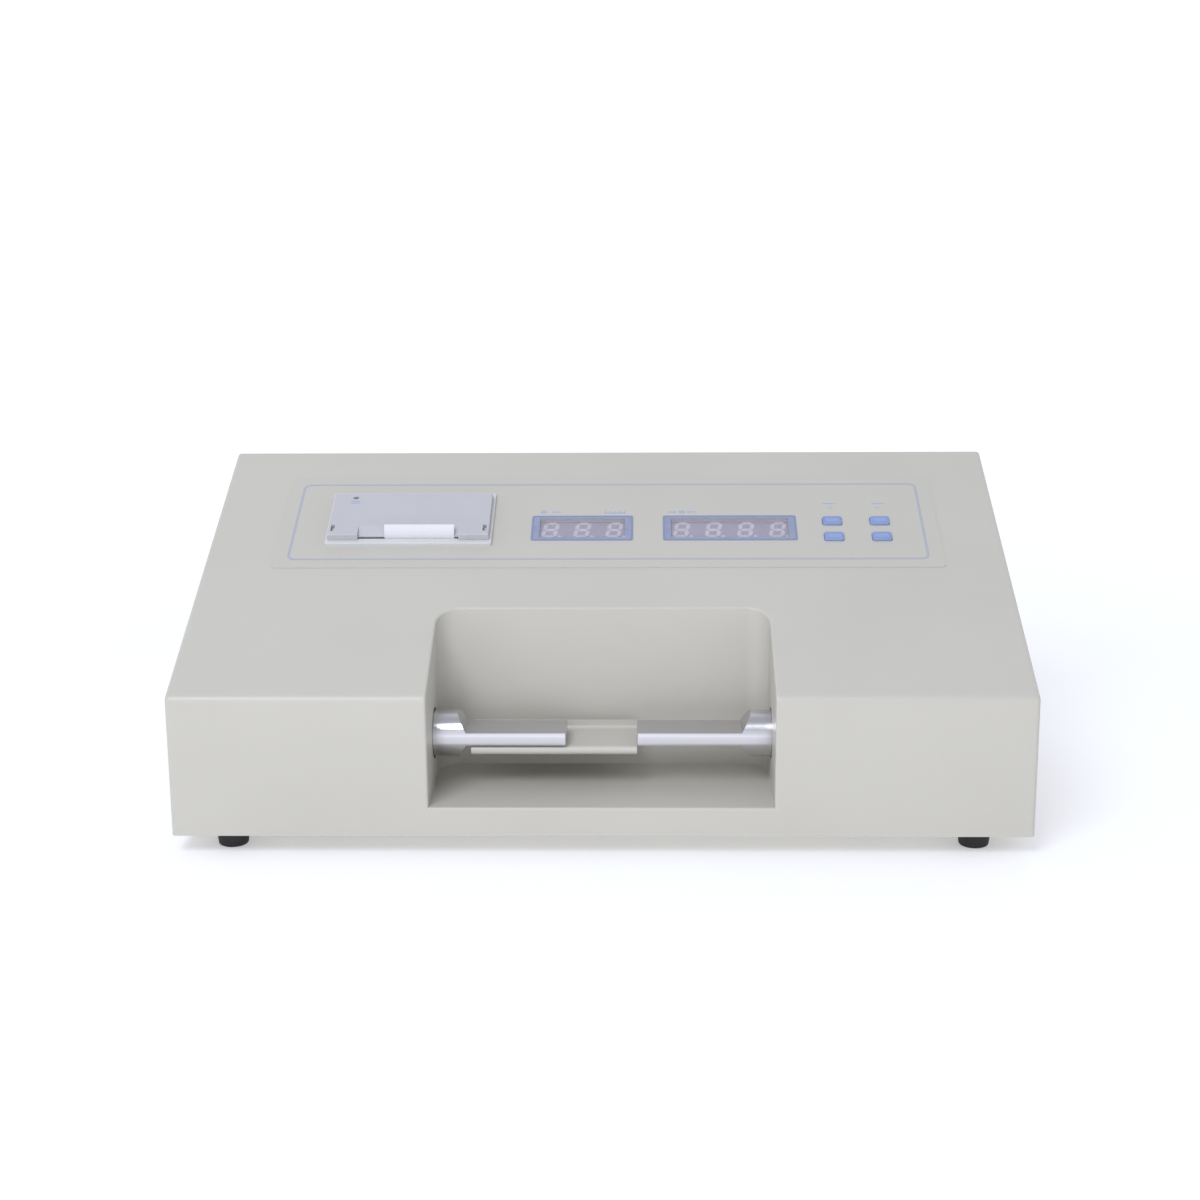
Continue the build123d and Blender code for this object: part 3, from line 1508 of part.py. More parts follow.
exit_rear_s = cover_front_s + exit_length
exit_front_s = cover_front_s + exit_gap
rear_bar_s = hinge_s - cover_rise / 2
pocket_width = ear_thickness + 2 * ear_gap
hinge_pin_length = pocket_width + 2 * hinge_pin_reach
with BuildPart() as printer_cover:
    # Its rear edge is round about the hinge's axis, so that it turns close to the flange.
    with BuildSketch(beside_slope(printer_x - cover_width / 2)):
        with Locations(((cover_front_s + hinge_s) / 2, hinge_height)):
            Rectangle(hinge_s - cover_front_s, cover_rise)
        with Locations((hinge_s, hinge_height)):
            Circle(cover_rise / 2)
    extrude(amount=cover_width)
    cover_rim = printer_cover.faces().sort_by(slope_out)[-1].edges()
    fillet(
        cover_rim.filter_by(lambda e: slope_plane.to_local_coords(e.center()).Y < rear_bar_s),
        cover_edge_radius,
    )
    # The hollow underneath lies between the paper's ramp and the bar that holds the hinge.
    hollow_front = exit_rear_s + cover_wall
    hollow_back = rear_bar_s
    with BuildSketch(on_slope(printer_x, (hollow_front + hollow_back) / 2, cover_base)):
        Rectangle(cover_width - 2 * cover_wall, hollow_back - hollow_front)
    extrude(amount=cover_rise - cover_wall, mode=Mode.SUBTRACT)
    # The ramp under the paper's end, open at its front for the paper to come out.
    with BuildSketch(beside_slope(printer_x)):
        with BuildLine():
            Polyline(
                (exit_front_s, cover_base + ramp_step),
                (exit_rear_s, cover_top),
                (exit_rear_s, cover_top + cover_rise),
                (cover_front_s - cover_rise, cover_top + cover_rise),
                (cover_front_s - cover_rise, cover_base - cover_gap),
                (exit_front_s, cover_base - cover_gap),
                close=True,
            )
        make_face()
    extrude(amount=exit_width / 2, both=True, mode=Mode.SUBTRACT)
    # Slots over the latches, and a hole for the feed lamp.
    for side in (-1, 1):
        with BuildSketch(on_slope(printer_x + side * latch_offset, latch_s, cover_base)):
            SlotOverall(latch_slot_length, latch_slot_width, rotation=90)
        extrude(amount=cover_rise, mode=Mode.SUBTRACT)
    feed_lamp_x = printer_x + feed_lamp_inset - cover_width / 2
    feed_lamp_s = printer_front_s + feed_lamp_setback
    with BuildSketch(on_slope(feed_lamp_x, feed_lamp_s, cover_base)):
        Ellipse(feed_lamp_half_width, feed_lamp_half_length)
    extrude(amount=cover_rise, mode=Mode.SUBTRACT)
    # Pockets for the ears, open below and behind so that the cover can turn, and blind
    # holes beside them for the hinge pins.
    pocket_front_s = hinge_s - ear_diameter / 2 - ear_gap
    pocket_top = hinge_height + ear_diameter / 2 + ear_headroom
    for side in (-1, 1):
        ear_x = printer_x + side * hinge_offset
        with BuildSketch(on_slope(ear_x, pocket_front_s + cover_rise, pocket_top)):
            Rectangle(pocket_width, 2 * cover_rise)
        extrude(amount=-cover_rise, mode=Mode.SUBTRACT)
        with BuildSketch(beside_slope(ear_x - hinge_pin_length / 2 - ear_gap)):
            with Locations((hinge_s, hinge_height)):
                Circle(hinge_pin_diameter / 2 + running_clearance)
        extrude(amount=hinge_pin_length + 2 * ear_gap, mode=Mode.SUBTRACT)
finish(printer_cover, "printer_cover")

with BuildPart() as hinge_pins:
    for side in (-1, 1):
        with BuildSketch(beside_slope(printer_x + side * hinge_offset - hinge_pin_length / 2)):
            with Locations((hinge_s, hinge_height)):
                Circle(hinge_pin_diameter / 2)
        extrude(amount=hinge_pin_length)
finish(hinge_pins, "hinge_pins")

# The end of the paper stands in the gap before the ramp and curls back over it.
paper_foot_s = exit_front_s - paper_gap
paper_foot_height = cover_base - paper_tuck
paper_tip_s = exit_rear_s - paper_lean
with BuildPart() as paper_tail:
    with BuildSketch(beside_slope(paper_x - paper_width / 2)):
        with BuildLine() as paper_line:
            straight = Line(
                (paper_foot_s, paper_foot_height), (paper_foot_s, cover_base + ramp_step)
            )
            TangentArc(straight @ 1, (paper_tip_s, paper_height), tangent=straight % 1)
            offset(paper_line.line, amount=paper_thickness, side=Side.LEFT)
        make_face()
    extrude(amount=paper_width)
finish(paper_tail, "paper_tail")


def bay_rod(diameter, x_low, x_high, s, depth, mode=Mode.ADD):
    """A round bar across the printer bay."""
    with BuildSketch(beside_slope(x_low)) as section:
        with Locations((s, -depth)):
            Circle(diameter / 2)
    return extrude(section.sketch, amount=x_high - x_low, mode=mode)


roll_low = paper_x - paper_width / 2
roll_high = paper_x + paper_width / 2
with BuildPart() as paper_roll:
    bay_rod(roll_diameter, roll_low, roll_high, roll_s, roll_depth)
    bay_rod(
        roll_core_diameter + 2 * running_clearance,
        roll_low,
        roll_high,
        roll_s,
        roll_depth,
        Mode.SUBTRACT,
    )
finish(paper_roll, "paper_roll")

spindle_low = printer_x - bay_inner_width / 2
spindle_high = printer_x + bay_inner_width / 2
with BuildPart() as roll_spindle:
    bay_rod(
        spindle_end_diameter,
        spindle_low - bay_wall,
        spindle_high + bay_wall,
        roll_s,
        roll_depth,
    )
    bay_rod(
        roll_core_diameter,
        spindle_low + spindle_shoulder,
        spindle_high - spindle_shoulder,
        roll_s,
        roll_depth,
    )
finish(roll_spindle, "roll_spindle")

with BuildPart() as platen_roller:
    bay_rod(
        platen_diameter,
        roll_low - platen_overhang,
        roll_high + platen_overhang,
        platen_s,
        platen_depth,
    )
    bay_rod(
        platen_shaft_diameter,
        spindle_low - bay_wall,
        spindle_high + bay_wall,
        platen_s,
        platen_depth,
    )
finish(platen_roller, "platen_roller")

with BuildPart() as feed_gearcase:
    with BuildSketch(beside_slope(spindle_low)):
        with Locations((platen_s + gearcase_offset, -platen_depth - gearcase_drop)):
            RectangleRounded(gearcase_length, gearcase_height, gearcase_radius)
        with Locations((platen_s, -platen_depth)):
            Circle(platen_shaft_diameter / 2 + running_clearance, mode=Mode.SUBTRACT)
    extrude(amount=gearcase_width)
finish(feed_gearcase, "feed_gearcase")

head_top = -platen_depth - platen_diameter / 2 - seat_gap
bay_floor = overlay_thickness - bay_depth + bay_wall
with BuildPart() as print_head:
    with BuildSketch(on_slope(paper_x, platen_s, head_top)):
        Rectangle(head_width, head_length)
    extrude(amount=-head_depth)
    with BuildSketch(on_slope(paper_x, platen_s, bay_floor)):
        with GridLocations(head_width - 2 * head_leg, 1, 2, 1):
            Rectangle(head_leg, head_length)
    extrude(amount=head_top - bay_floor - head_leg_overlap)
finish(print_head, "print_head")

# ---------------------------------------------------------------- electrics
core_z = floor_top_z
side_window = (core_width - 2 * core_limb - core_middle_limb) / 2
with BuildPart() as transformer_core:
    box_between(
        transformer_x - core_width / 2,
        transformer_x + core_width / 2,
        transformer_y - core_depth / 2,
        transformer_y + core_depth / 2,
        core_z,
        core_z + core_height,
    )
    for side in (-1, 1):
        window_centre = transformer_x + side * (core_middle_limb + side_window) / 2
        box_between(
            window_centre - side_window / 2,
            window_centre + side_window / 2,
            transformer_y - core_depth,
            transformer_y + core_depth,
            core_z + core_limb,
            core_z + core_height - core_limb,
            mode=Mode.SUBTRACT,
        )
finish(transformer_core, "transformer_core")

with BuildPart() as transformer_coil:
    coil_half_x = core_middle_limb / 2 + side_window - coil_gap
    coil_half_y = core_depth / 2 + side_window - coil_gap
    with BuildSketch(Plane.XY.offset(core_z + core_limb + coil_gap)):
        with Locations((transformer_x, transformer_y)):
            RectangleRounded(2 * coil_half_x, 2 * coil_half_y, coil_corner_radius)
            Rectangle(
                core_middle_limb + 2 * coil_gap, core_depth + 2 * coil_gap, mode=Mode.SUBTRACT
            )
    extrude(amount=core_height - 2 * core_limb - 2 * coil_gap)
finish(transformer_coil, "transformer_coil")

main_board_z = floor_top_z + main_board_rise
with BuildPart() as main_board:
    box_between(
        main_board_x - main_board_width / 2,
        main_board_x + main_board_width / 2,
        main_board_y - main_board_depth / 2,
        main_board_y + main_board_depth / 2,
        main_board_z,
        main_board_z + board_thickness,
    )
finish(main_board, "main_board")

# What stands on the board: chips, a row of wire sockets and the supply's capacitors.
board_face = Plane((main_board_x, main_board_y, main_board_z + board_thickness))
memory_size = (20.0, 8.0, 4.0)
chips = [
    ((-40.0, -15.0), (36.0, 14.0, 4.0)),
    ((10.0, -15.0), (24.0, 24.0, 3.0)),
    ((-40.0, 15.0), memory_size),
    ((-8.0, 15.0), memory_size),
]
socket_size = (22.0, 8.0, 9.0)
socket_places = [(-70.0, 36.0), (-30.0, 36.0), (20.0, 36.0), (65.0, 36.0)]
capacitor_places = [(50.0, -25.0), (68.0, -25.0), (50.0, -3.0)]
capacitor_diameter = 12.0
capacitor_height = 20.0
with BuildPart(board_face) as board_parts:
    for chip_place, chip_size in chips:
        with Locations(chip_place):
            Box(*chip_size, align=standing)
    with Locations(*socket_places):
        Box(*socket_size, align=standing)
    with Locations(*capacitor_places):
        Cylinder(capacitor_diameter / 2, capacitor_height, align=standing)
finish(board_parts, "board_parts")

inlet_face_y = panel_y + inlet_flange_thickness
socket_depth = socket_floor_gap + pin_length
with BuildPart() as power_inlet:
    box_between(
        inlet_x - inlet_width / 2,
        inlet_x + inlet_width / 2,
        panel_y - inlet_depth,
        inlet_face_y,
        mains_z - inlet_height / 2,
        mains_z + inlet_height / 2,
    )
    with BuildSketch(Plane.XZ.offset(-panel_y)):
        with Locations((inlet_x, mains_z)):
            RectangleRounded(inlet_flange_width, inlet_flange_height, inlet_flange_radius)
    extrude(amount=-inlet_flange_thickness)
    # The socket, with its two upper corners cut off.
    socket_half_x = inlet_width / 2 - socket_wall
    socket_half_z = inlet_height / 2 - socket_wall
    with BuildSketch(Plane.XZ.offset(-inlet_face_y)):
        with Locations((inlet_x, mains_z)):
            Polygon(
                (-socket_half_x, -socket_half_z),
                (socket_half_x, -socket_half_z),
                (socket_half_x, socket_half_z - socket_cut),
                (socket_half_x - socket_cut, socket_half_z),
                (socket_cut - socket_half_x, socket_half_z),
                (-socket_half_x, socket_half_z - socket_cut),
                align=None,
            )
    extrude(amount=socket_depth, mode=Mode.SUBTRACT)
    with BuildSketch(Plane.XZ.offset(-panel_y)):
        with Locations((inlet_x, mains_z)):
            with GridLocations(inlet_screw_spacing, 1, 2, 1):
                Circle(m3_diameter / 2)
    extrude(amount=-inlet_flange_thickness, mode=Mode.SUBTRACT)
finish(power_inlet, "power_inlet")

with BuildPart() as inlet_pins:
    with BuildSketch(Plane.XZ.offset(socket_depth - inlet_face_y)):
        with Locations(
            (inlet_x - pin_spacing, mains_z - pin_stagger),
            (inlet_x, mains_z + pin_stagger),
            (inlet_x + pin_spacing, mains_z - pin_stagger),
        ):
            Rectangle(pin_thickness, pin_width)
    extrude(amount=-pin_length)
finish(inlet_pins, "inlet_pins")

with BuildPart() as small_screws:
    with Locations(
        *[
            Location((inlet_x + side * inlet_screw_spacing / 2, inlet_face_y, mains_z), (-90, 0, 0))
            for side in (-1, 1)
        ]
    ):
        pan_head(m3_diameter, m3_head, inlet_flange_thickness + 2 * sheet)
    bracket_front_y = well_back_y - bracket_sheet
    with Locations(
        *[Location((x, bracket_front_y, bracket_screw_z), (90, 0, 0)) for x in bracket_screw_places]
    ):
        pan_head(m3_diameter, m3_head, bracket_sheet + 2 * sheet)
finish(small_screws, "small_screws")

rocker_axis_y = panel_y - rocker_axis_depth
bezel_half_x = rocker_width / 2 + rocker_gap + switch_bezel_border
bezel_half_z = rocker_height / 2 + rocker_gap + switch_bezel_border
with BuildPart() as switch_body:
    with BuildSketch(Plane.XZ.offset(-panel_y)):
        with Locations((switch_x, mains_z)):
            RectangleRounded(2 * bezel_half_x, 2 * bezel_half_z, switch_bezel_radius)
    extrude(amount=-switch_bezel_rise)
    box_between(
        switch_x - bezel_half_x + switch_bezel_border / 2 + screw_hole_gap,
        switch_x + bezel_half_x - switch_bezel_border / 2 - screw_hole_gap,
        panel_y - switch_body_depth,
        panel_y,
        mains_z - bezel_half_z + switch_bezel_border / 2 + screw_hole_gap,
        mains_z + bezel_half_z - switch_bezel_border / 2 - screw_hole_gap,
    )
    box_between(
        switch_x - rocker_width / 2 - rocker_gap,
        switch_x + rocker_width / 2 + rocker_gap,
        panel_y - switch_body_depth / 2,
        panel_y + switch_bezel_rise,
        mains_z - rocker_height / 2 - rocker_gap,
        mains_z + rocker_height / 2 + rocker_gap,
        mode=Mode.SUBTRACT,
    )
    pin_end_x = rocker_width / 2 + rocker_gap + rocker_pin_reach
    rod_x(
        rocker_pin_diameter + 2 * running_clearance,
        switch_x - pin_end_x - rocker_pin_end_gap,
        switch_x + pin_end_x + rocker_pin_end_gap,
        rocker_axis_y,
        mains_z,
        Mode.SUBTRACT,
    )
finish(switch_body, "switch_body")

with BuildPart() as power_rocker:
    # At rest the rocker's lower half is pressed in: off.
    rocker_plane = Plane(
        origin=(switch_x - rocker_width / 2, rocker_axis_y, mains_z),
        x_dir=(0, math.cos(math.radians(rocker_tilt)), -math.sin(math.radians(rocker_tilt))),
        z_dir=(1, 0, 0),
    )
    half_height = rocker_height / 2 - rocker_end_gap
    with BuildSketch(rocker_plane):
        with BuildLine():
            Polyline(
                (-rocker_root, -rocker_root_height / 2),
                (rocker_tip, -half_height),
                (rocker_waist, 0),
                (rocker_tip, half_height),
                (-rocker_root, rocker_root_height / 2),
                close=True,
            )
        make_face()
    extrude(amount=rocker_width)
    rod_x(
        rocker_pin_diameter,
        switch_x - pin_end_x,
        switch_x + pin_end_x,
        rocker_axis_y,
        mains_z,
    )
finish(power_rocker, "power_rocker")

with BuildPart() as fuse_holder:
    with BuildSketch(Plane.XZ.offset(-(panel_y + fuse_cap_height))):
        with Locations((fuse_x, mains_z)):
            Circle(fuse_cap_diameter / 2)
    extrude(amount=fuse_cap_height)
    with BuildSketch(Plane.XZ.offset(-panel_y)):
        with Locations((fuse_x, mains_z)):
            Circle(fuse_diameter / 2)
    extrude(amount=fuse_body_depth)
    box_between(
        fuse_x - fuse_slot_length / 2,
        fuse_x + fuse_slot_length / 2,
        panel_y + fuse_cap_height - fuse_slot_depth,
        panel_y + fuse_cap_height,
        mains_z - fuse_slot_width / 2,
        mains_z + fuse_slot_width / 2,
        mode=Mode.SUBTRACT,
    )
finish(fuse_holder, "fuse_holder")
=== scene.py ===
# %% [markdown]
# # A tablet hardness tester on a bench
#
# The machine squeezes one pill between two flat jaws and prints the force that broke it.
# Its solid pieces arrive as finished CAD nodes that are never moved or edited here. This
# lesson gives each of them its finish, and models what is too thin or too soft for CAD:
# the ink on the control panel, the torn end of the paper and the marks on the switches.
# Blender works in metres, so a size read off the real machine is multiplied by MM.

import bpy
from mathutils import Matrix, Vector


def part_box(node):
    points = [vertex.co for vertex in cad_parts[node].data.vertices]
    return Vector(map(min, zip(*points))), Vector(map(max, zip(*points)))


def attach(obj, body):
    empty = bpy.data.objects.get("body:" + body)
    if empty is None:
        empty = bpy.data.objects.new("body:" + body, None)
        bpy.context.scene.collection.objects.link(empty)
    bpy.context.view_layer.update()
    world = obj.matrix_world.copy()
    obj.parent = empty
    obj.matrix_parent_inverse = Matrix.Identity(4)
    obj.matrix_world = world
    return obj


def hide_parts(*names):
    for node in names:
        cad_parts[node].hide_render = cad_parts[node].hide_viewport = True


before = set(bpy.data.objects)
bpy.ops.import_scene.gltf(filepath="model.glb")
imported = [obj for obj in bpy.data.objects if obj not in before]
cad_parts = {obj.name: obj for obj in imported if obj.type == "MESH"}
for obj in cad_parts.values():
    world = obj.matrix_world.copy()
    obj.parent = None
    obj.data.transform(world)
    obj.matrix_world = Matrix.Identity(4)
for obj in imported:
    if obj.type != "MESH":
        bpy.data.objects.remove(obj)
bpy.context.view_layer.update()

# %% Modules
import math

import bmesh
import bpy
from mathutils import Matrix, Vector

MM = 0.001
scene = bpy.context.scene

# %% [markdown]
# ## The camera
#
# A product photograph is taken from well back with a long lens, so that the sides hardly
# converge. Here the camera stands 1.2 m in front of the middle and 0.4 m up, turned a
# little more than one degree to the left and tilted 14 degrees down. Those angles were
# worked out from the places of the casing's corners, so they are kept to a hundredth of
# a degree.

# %% Camera
camera_place = Vector((25.4, -1208.5, 420.7)) * MM
camera_turn = math.radians(1.33)
camera_tilt = math.radians(13.95)
camera_roll = math.radians(-0.38)

camera_data = bpy.data.cameras.new("bench_camera")
camera_data.sensor_width = 36.0
camera_data.lens = 61.07
camera_data.clip_end = 50.0
camera = bpy.data.objects.new("bench_camera", camera_data)
scene.collection.objects.link(camera)
camera.matrix_world = (
    Matrix.Translation(camera_place)
    @ Matrix.Rotation(camera_turn, 4, "Z")
    @ Matrix.Rotation(math.radians(90) - camera_tilt, 4, "X")
    @ Matrix.Rotation(camera_roll, 4, "Z")
)
scene.camera = camera
looking_along = camera.matrix_world.to_3x3() @ Vector((0, 0, -1))
print("camera looks along", [round(part, 3) for part in looking_along])


# %% [markdown]
# ## Helpers for materials
#
# Colours are easier to judge as the hex codes of a paint chart, but a shader works in
# linear light, so one function converts them. A second one adds a node, sets its options
# and joins its inputs, which keeps each finish below to a few readable lines.

# %% Colour and node helpers
def linear(hex_code):
    """The linear RGBA of an sRGB hex colour such as "#C8C8C4"."""
    channels = [int(hex_code[place : place + 2], 16) / 255 for place in (1, 3, 5)]
    light = [c / 12.92 if c <= 0.04045 else ((c + 0.055) / 1.055) ** 2.4 for c in channels]
    return (*light, 1.0)


def add(tree, kind, inputs=None, **options):
    """Add a node with its options, and set or link each of its inputs."""
    new = tree.nodes.new(kind)
    for option, value in options.items():
        setattr(new, option, value)
    for socket, value in (inputs or {}).items():
        if isinstance(value, bpy.types.NodeSocket):
            tree.links.new(value, new.inputs[socket])
        else:
            new.inputs[socket].default_value = value
    return new


def per_metre(millimetres):
    """The scale that gives a texture features of this size in millimetres."""
    return 1000.0 / millimetres


def begin(name):
    """A new material, its empty node tree and its object coordinates."""
    material = bpy.data.materials.new(name)
    material.use_nodes = True
    tree = material.node_tree
    tree.nodes.clear()
    place = add(tree, "ShaderNodeTexCoord").outputs["Object"]
    return material, tree, place


def dress(material, *names):
    """Give CAD nodes a finish."""
    for name in names:
        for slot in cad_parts[name].material_slots:
            slot.material = material
    print(material.name, "on", len(names), "nodes")


# %% [markdown]
# ## Baked enamel on sheet steel
#
# The casing, the well and the tray are bent from steel sheet, sprayed with warm grey
# enamel and baked. The paint shrinks as it dries into a very shallow orange peel, a few
# millimetres from crest to crest, which breaks up the gloss without hiding it. A wide,
# faint cloud keeps the large flat faces from looking computed.

# %% Baked enamel
peel_pitch = 2.4
enamel_cloud = 120.0


def baked_enamel():
    """Warm grey paint: even in colour, half glossy, with a shallow orange peel."""
    material, tree, place = begin("baked_enamel")
    cloud = add(
        tree,
        "ShaderNodeTexNoise",
        {"Vector": place, "Scale": per_metre(enamel_cloud), "Detail": 3.0},
    )
    tint = add(tree, "ShaderNodeValToRGB", {"Fac": cloud.outputs[0]})
    tint.color_ramp.elements[0].position = 0.35
    tint.color_ramp.elements[0].color = linear("#C0BDB3")
    tint.color_ramp.elements[1].position = 0.65
    tint.color_ramp.elements[1].color = linear("#C3C0B6")
    peel = add(
        tree,
        "ShaderNodeTexNoise",
        {"Vector": place, "Scale": per_metre(peel_pitch), "Detail": 1.5},
    )
    relief = add(
        tree,
        "ShaderNodeBump",
        {"Height": peel.outputs[0], "Strength": 0.35, "Distance": 0.05 * MM},
    )
    gloss = add(
        tree,
        "ShaderNodeMapRange",
        {"Value": cloud.outputs[0], "To Min": 0.36, "To Max": 0.44},
    )
    skin = add(
        tree,
        "ShaderNodeBsdfPrincipled",
        {
            "Base Color": tint.outputs["Color"],
            "Roughness": gloss.outputs["Result"],
            "Normal": relief.outputs["Normal"],
            "IOR": 1.5,
        },
    )
    add(tree, "ShaderNodeOutputMaterial", {"Surface": skin.outputs["BSDF"]})
    return material


dress(baked_enamel(), "housing", "test_well", "tablet_tray", "base_plate", "rear_panel")


# %% [markdown]
# ## Turned and milled aluminium
#
# Each jaw is a turned bar with two flats milled on it, rubbed down to a satin shine. The
# scratches run round the bar where it was turned and along it where it was milled, and
# they blur what the metal mirrors. Both are stretched noise, long in one direction and
# narrow in the other, and a step at the blade's root picks one or the other. Real
# scratches are too fine to show, so these are 0.35 mm apart.

# %% Satin aluminium of the jaws
blade_root = 84.0 * MM
scratch_pitch = 0.35
scratch_length = 40.0


def satin_aluminium():
    """Pale metal whose fine scratches blur what it mirrors."""
    material, tree, place = begin("satin_aluminium")
    fine, long = per_metre(scratch_pitch), per_metre(scratch_length)
    along = add(tree, "ShaderNodeMapping", {"Vector": place, "Scale": (long, fine, fine)})
    around = add(tree, "ShaderNodeMapping", {"Vector": place, "Scale": (fine, long, long)})
    milled = add(
        tree, "ShaderNodeTexNoise", {"Vector": along.outputs[0], "Scale": 1.0, "Detail": 2.0}
    )
    turned = add(
        tree, "ShaderNodeTexNoise", {"Vector": around.outputs[0], "Scale": 1.0, "Detail": 2.0}
    )
    parts = add(tree, "ShaderNodeSeparateXYZ", {"Vector": place})
    distance = add(tree, "ShaderNodeMath", {0: parts.outputs["X"]}, operation="ABSOLUTE")
    is_bar = add(
        tree, "ShaderNodeMath", {0: distance.outputs[0], 1: blade_root}, operation="GREATER_THAN"
    )
    marks = add(
        tree,
        "ShaderNodeMix",
        {"Factor": is_bar.outputs[0], "A": milled.outputs[0], "B": turned.outputs[0]},
    )
    relief = add(
        tree,
        "ShaderNodeBump",
        {"Height": marks.outputs[0], "Strength": 0.12, "Distance": 0.01 * MM},
    )
    gloss = add(
        tree, "ShaderNodeMapRange", {"Value": marks.outputs[0], "To Min": 0.17, "To Max": 0.29}
    )
    skin = add(
        tree,
        "ShaderNodeBsdfPrincipled",
        {
            "Base Color": linear("#CECDD0"),
            "Metallic": 1.0,
            "Roughness": gloss.outputs["Result"],
            "Anisotropic": 0.4,
            "Normal": relief.outputs["Normal"],
        },
    )
    add(tree, "ShaderNodeOutputMaterial", {"Surface": skin.outputs["BSDF"]})
    return material


dress(satin_aluminium(), "anvil_jaw", "ram_jaw")


# %% [markdown]
# ## The control panel's film
#
# The panel is a printed polycarbonate film glued over the steel. Such film has a velvet
# face that scatters light, so it is a shade duller and smoother than the enamel around
# it, and only its cut edge gives it away. The real grain is 0.1 mm; it is drawn at
# 0.5 mm so that it still shows from a step away.

# %% Velvet film
velvet_grain = 0.5
velvet_cloud = 70.0


def velvet_film():
    """Plastic film with a dull, faintly grainy face."""
    material, tree, place = begin("velvet_polycarbonate_film")
    grain = add(
        tree,
        "ShaderNodeTexNoise",
        {"Vector": place, "Scale": per_metre(velvet_grain), "Detail": 2.0},
    )
    cloud = add(
        tree,
        "ShaderNodeTexNoise",
        {"Vector": place, "Scale": per_metre(velvet_cloud), "Detail": 2.0},
    )
    tint = add(tree, "ShaderNodeValToRGB", {"Fac": cloud.outputs[0]})
    tint.color_ramp.elements[0].color = linear("#BFBCB3")
    tint.color_ramp.elements[1].color = linear("#C2BFB6")
    relief = add(
        tree,
        "ShaderNodeBump",
        {"Height": grain.outputs[0], "Strength": 0.3, "Distance": 0.02 * MM},
    )
    skin = add(
        tree,
        "ShaderNodeBsdfPrincipled",
        {
            "Base Color": tint.outputs["Color"],
            "Roughness": 0.55,
            "Normal": relief.outputs["Normal"],
            "IOR": 1.58,
        },
    )
    add(tree, "ShaderNodeOutputMaterial", {"Surface": skin.outputs["BSDF"]})
    return material


dress(velvet_film(), "control_overlay")


# %% [markdown]
# ## Screen-printed ink
#
# The border line, the display frames and the signs are screen printed. Ink lies on the
# film in a thin even coat, a little glossier than the velvet, with pinholes where the
# mesh left them. Real pinholes are too fine to show, so the speckle is 1.2 mm wide. One
# function makes any of the ink colours.

# %% Inks
def screen_ink(name, deep, pale, grain_size=1.2):
    """An even, half dull ink that varies a little between two tones."""
    material, tree, place = begin(name)
    speckle = add(
        tree,
        "ShaderNodeTexNoise",
        {"Vector": place, "Scale": per_metre(grain_size), "Detail": 3.0},
    )
    tint = add(tree, "ShaderNodeValToRGB", {"Fac": speckle.outputs[0]})
    tint.color_ramp.elements[0].position = 0.3
    tint.color_ramp.elements[0].color = linear(deep)
    tint.color_ramp.elements[1].position = 0.7
    tint.color_ramp.elements[1].color = linear(pale)
    relief = add(
        tree,
        "ShaderNodeBump",
        {"Height": speckle.outputs[0], "Strength": 0.2, "Distance": 0.01 * MM},
    )
    skin = add(
        tree,
        "ShaderNodeBsdfPrincipled",
        {
            "Base Color": tint.outputs["Color"],
            "Roughness": 0.45,
            "Normal": relief.outputs["Normal"],
            "IOR": 1.5,
        },
    )
    add(tree, "ShaderNodeOutputMaterial", {"Surface": skin.outputs["BSDF"]})
    return material


border_ink = screen_ink("slate_blue_screen_ink", "#A6A9B2", "#AEB1BA")
frame_ink = screen_ink("cornflower_screen_ink", "#8A92AB", "#939BB4", grain_size=6.0)
outline_ink = screen_ink("dark_blue_screen_ink", "#7D87A6", "#858FAD")
sign_ink = screen_ink("pale_blue_screen_ink", "#93A4CB", "#9FAFD2")
pale_ink = screen_ink("lavender_screen_ink", "#8A9CC6", "#93A4CE")
dress(frame_ink, "display_bezels")


# %% [markdown]
# ## Moulded plastics
#
# The printer is moulded in cool light grey ABS, the keys in blue silicone, the mains
# parts in black nylon. Moulded plastic takes the texture of the spark-eroded mould, an
# even fine grain that softens its gloss, and the gloss varies with how well the melt
# filled each corner. The grain is drawn at 0.6 mm so that it shows. Grain, gloss and
# colours are all that differ, so one function serves them all.

# %% Moulded plastic
flow_width = 25.0


def moulded(name, deep, pale, roughness, grain_size=0.6, depth=0.02):
    """A plastic between two tones. The grain's size and depth are in millimetres."""
    material, tree, place = begin(name)
    spread = 0.05
    grain = add(
        tree,
        "ShaderNodeTexNoise",
        {"Vector": place, "Scale": per_metre(grain_size), "Detail": 2.0},
    )
    flow = add(
        tree,
        "ShaderNodeTexNoise",
        {"Vector": place, "Scale": per_metre(flow_width), "Detail": 2.0},
    )
    tint = add(tree, "ShaderNodeValToRGB", {"Fac": flow.outputs[0]})
    tint.color_ramp.elements[0].position = 0.3
    tint.color_ramp.elements[0].color = linear(deep)
    tint.color_ramp.elements[1].position = 0.7
    tint.color_ramp.elements[1].color = linear(pale)
    relief = add(
        tree,
        "ShaderNodeBump",
        {"Height": grain.outputs[0], "Strength": 0.3, "Distance": depth * MM},
    )
    gloss = add(
        tree,
        "ShaderNodeMapRange",
        {"Value": flow.outputs[0], "To Min": roughness - spread, "To Max": roughness + spread},
    )
    skin = add(
        tree,
        "ShaderNodeBsdfPrincipled",
        {
            "Base Color": tint.outputs["Color"],
            "Roughness": gloss.outputs["Result"],
            "Normal": relief.outputs["Normal"],
            "IOR": 1.53,
        },
    )
    add(tree, "ShaderNodeOutputMaterial", {"Surface": skin.outputs["BSDF"]})
    return material


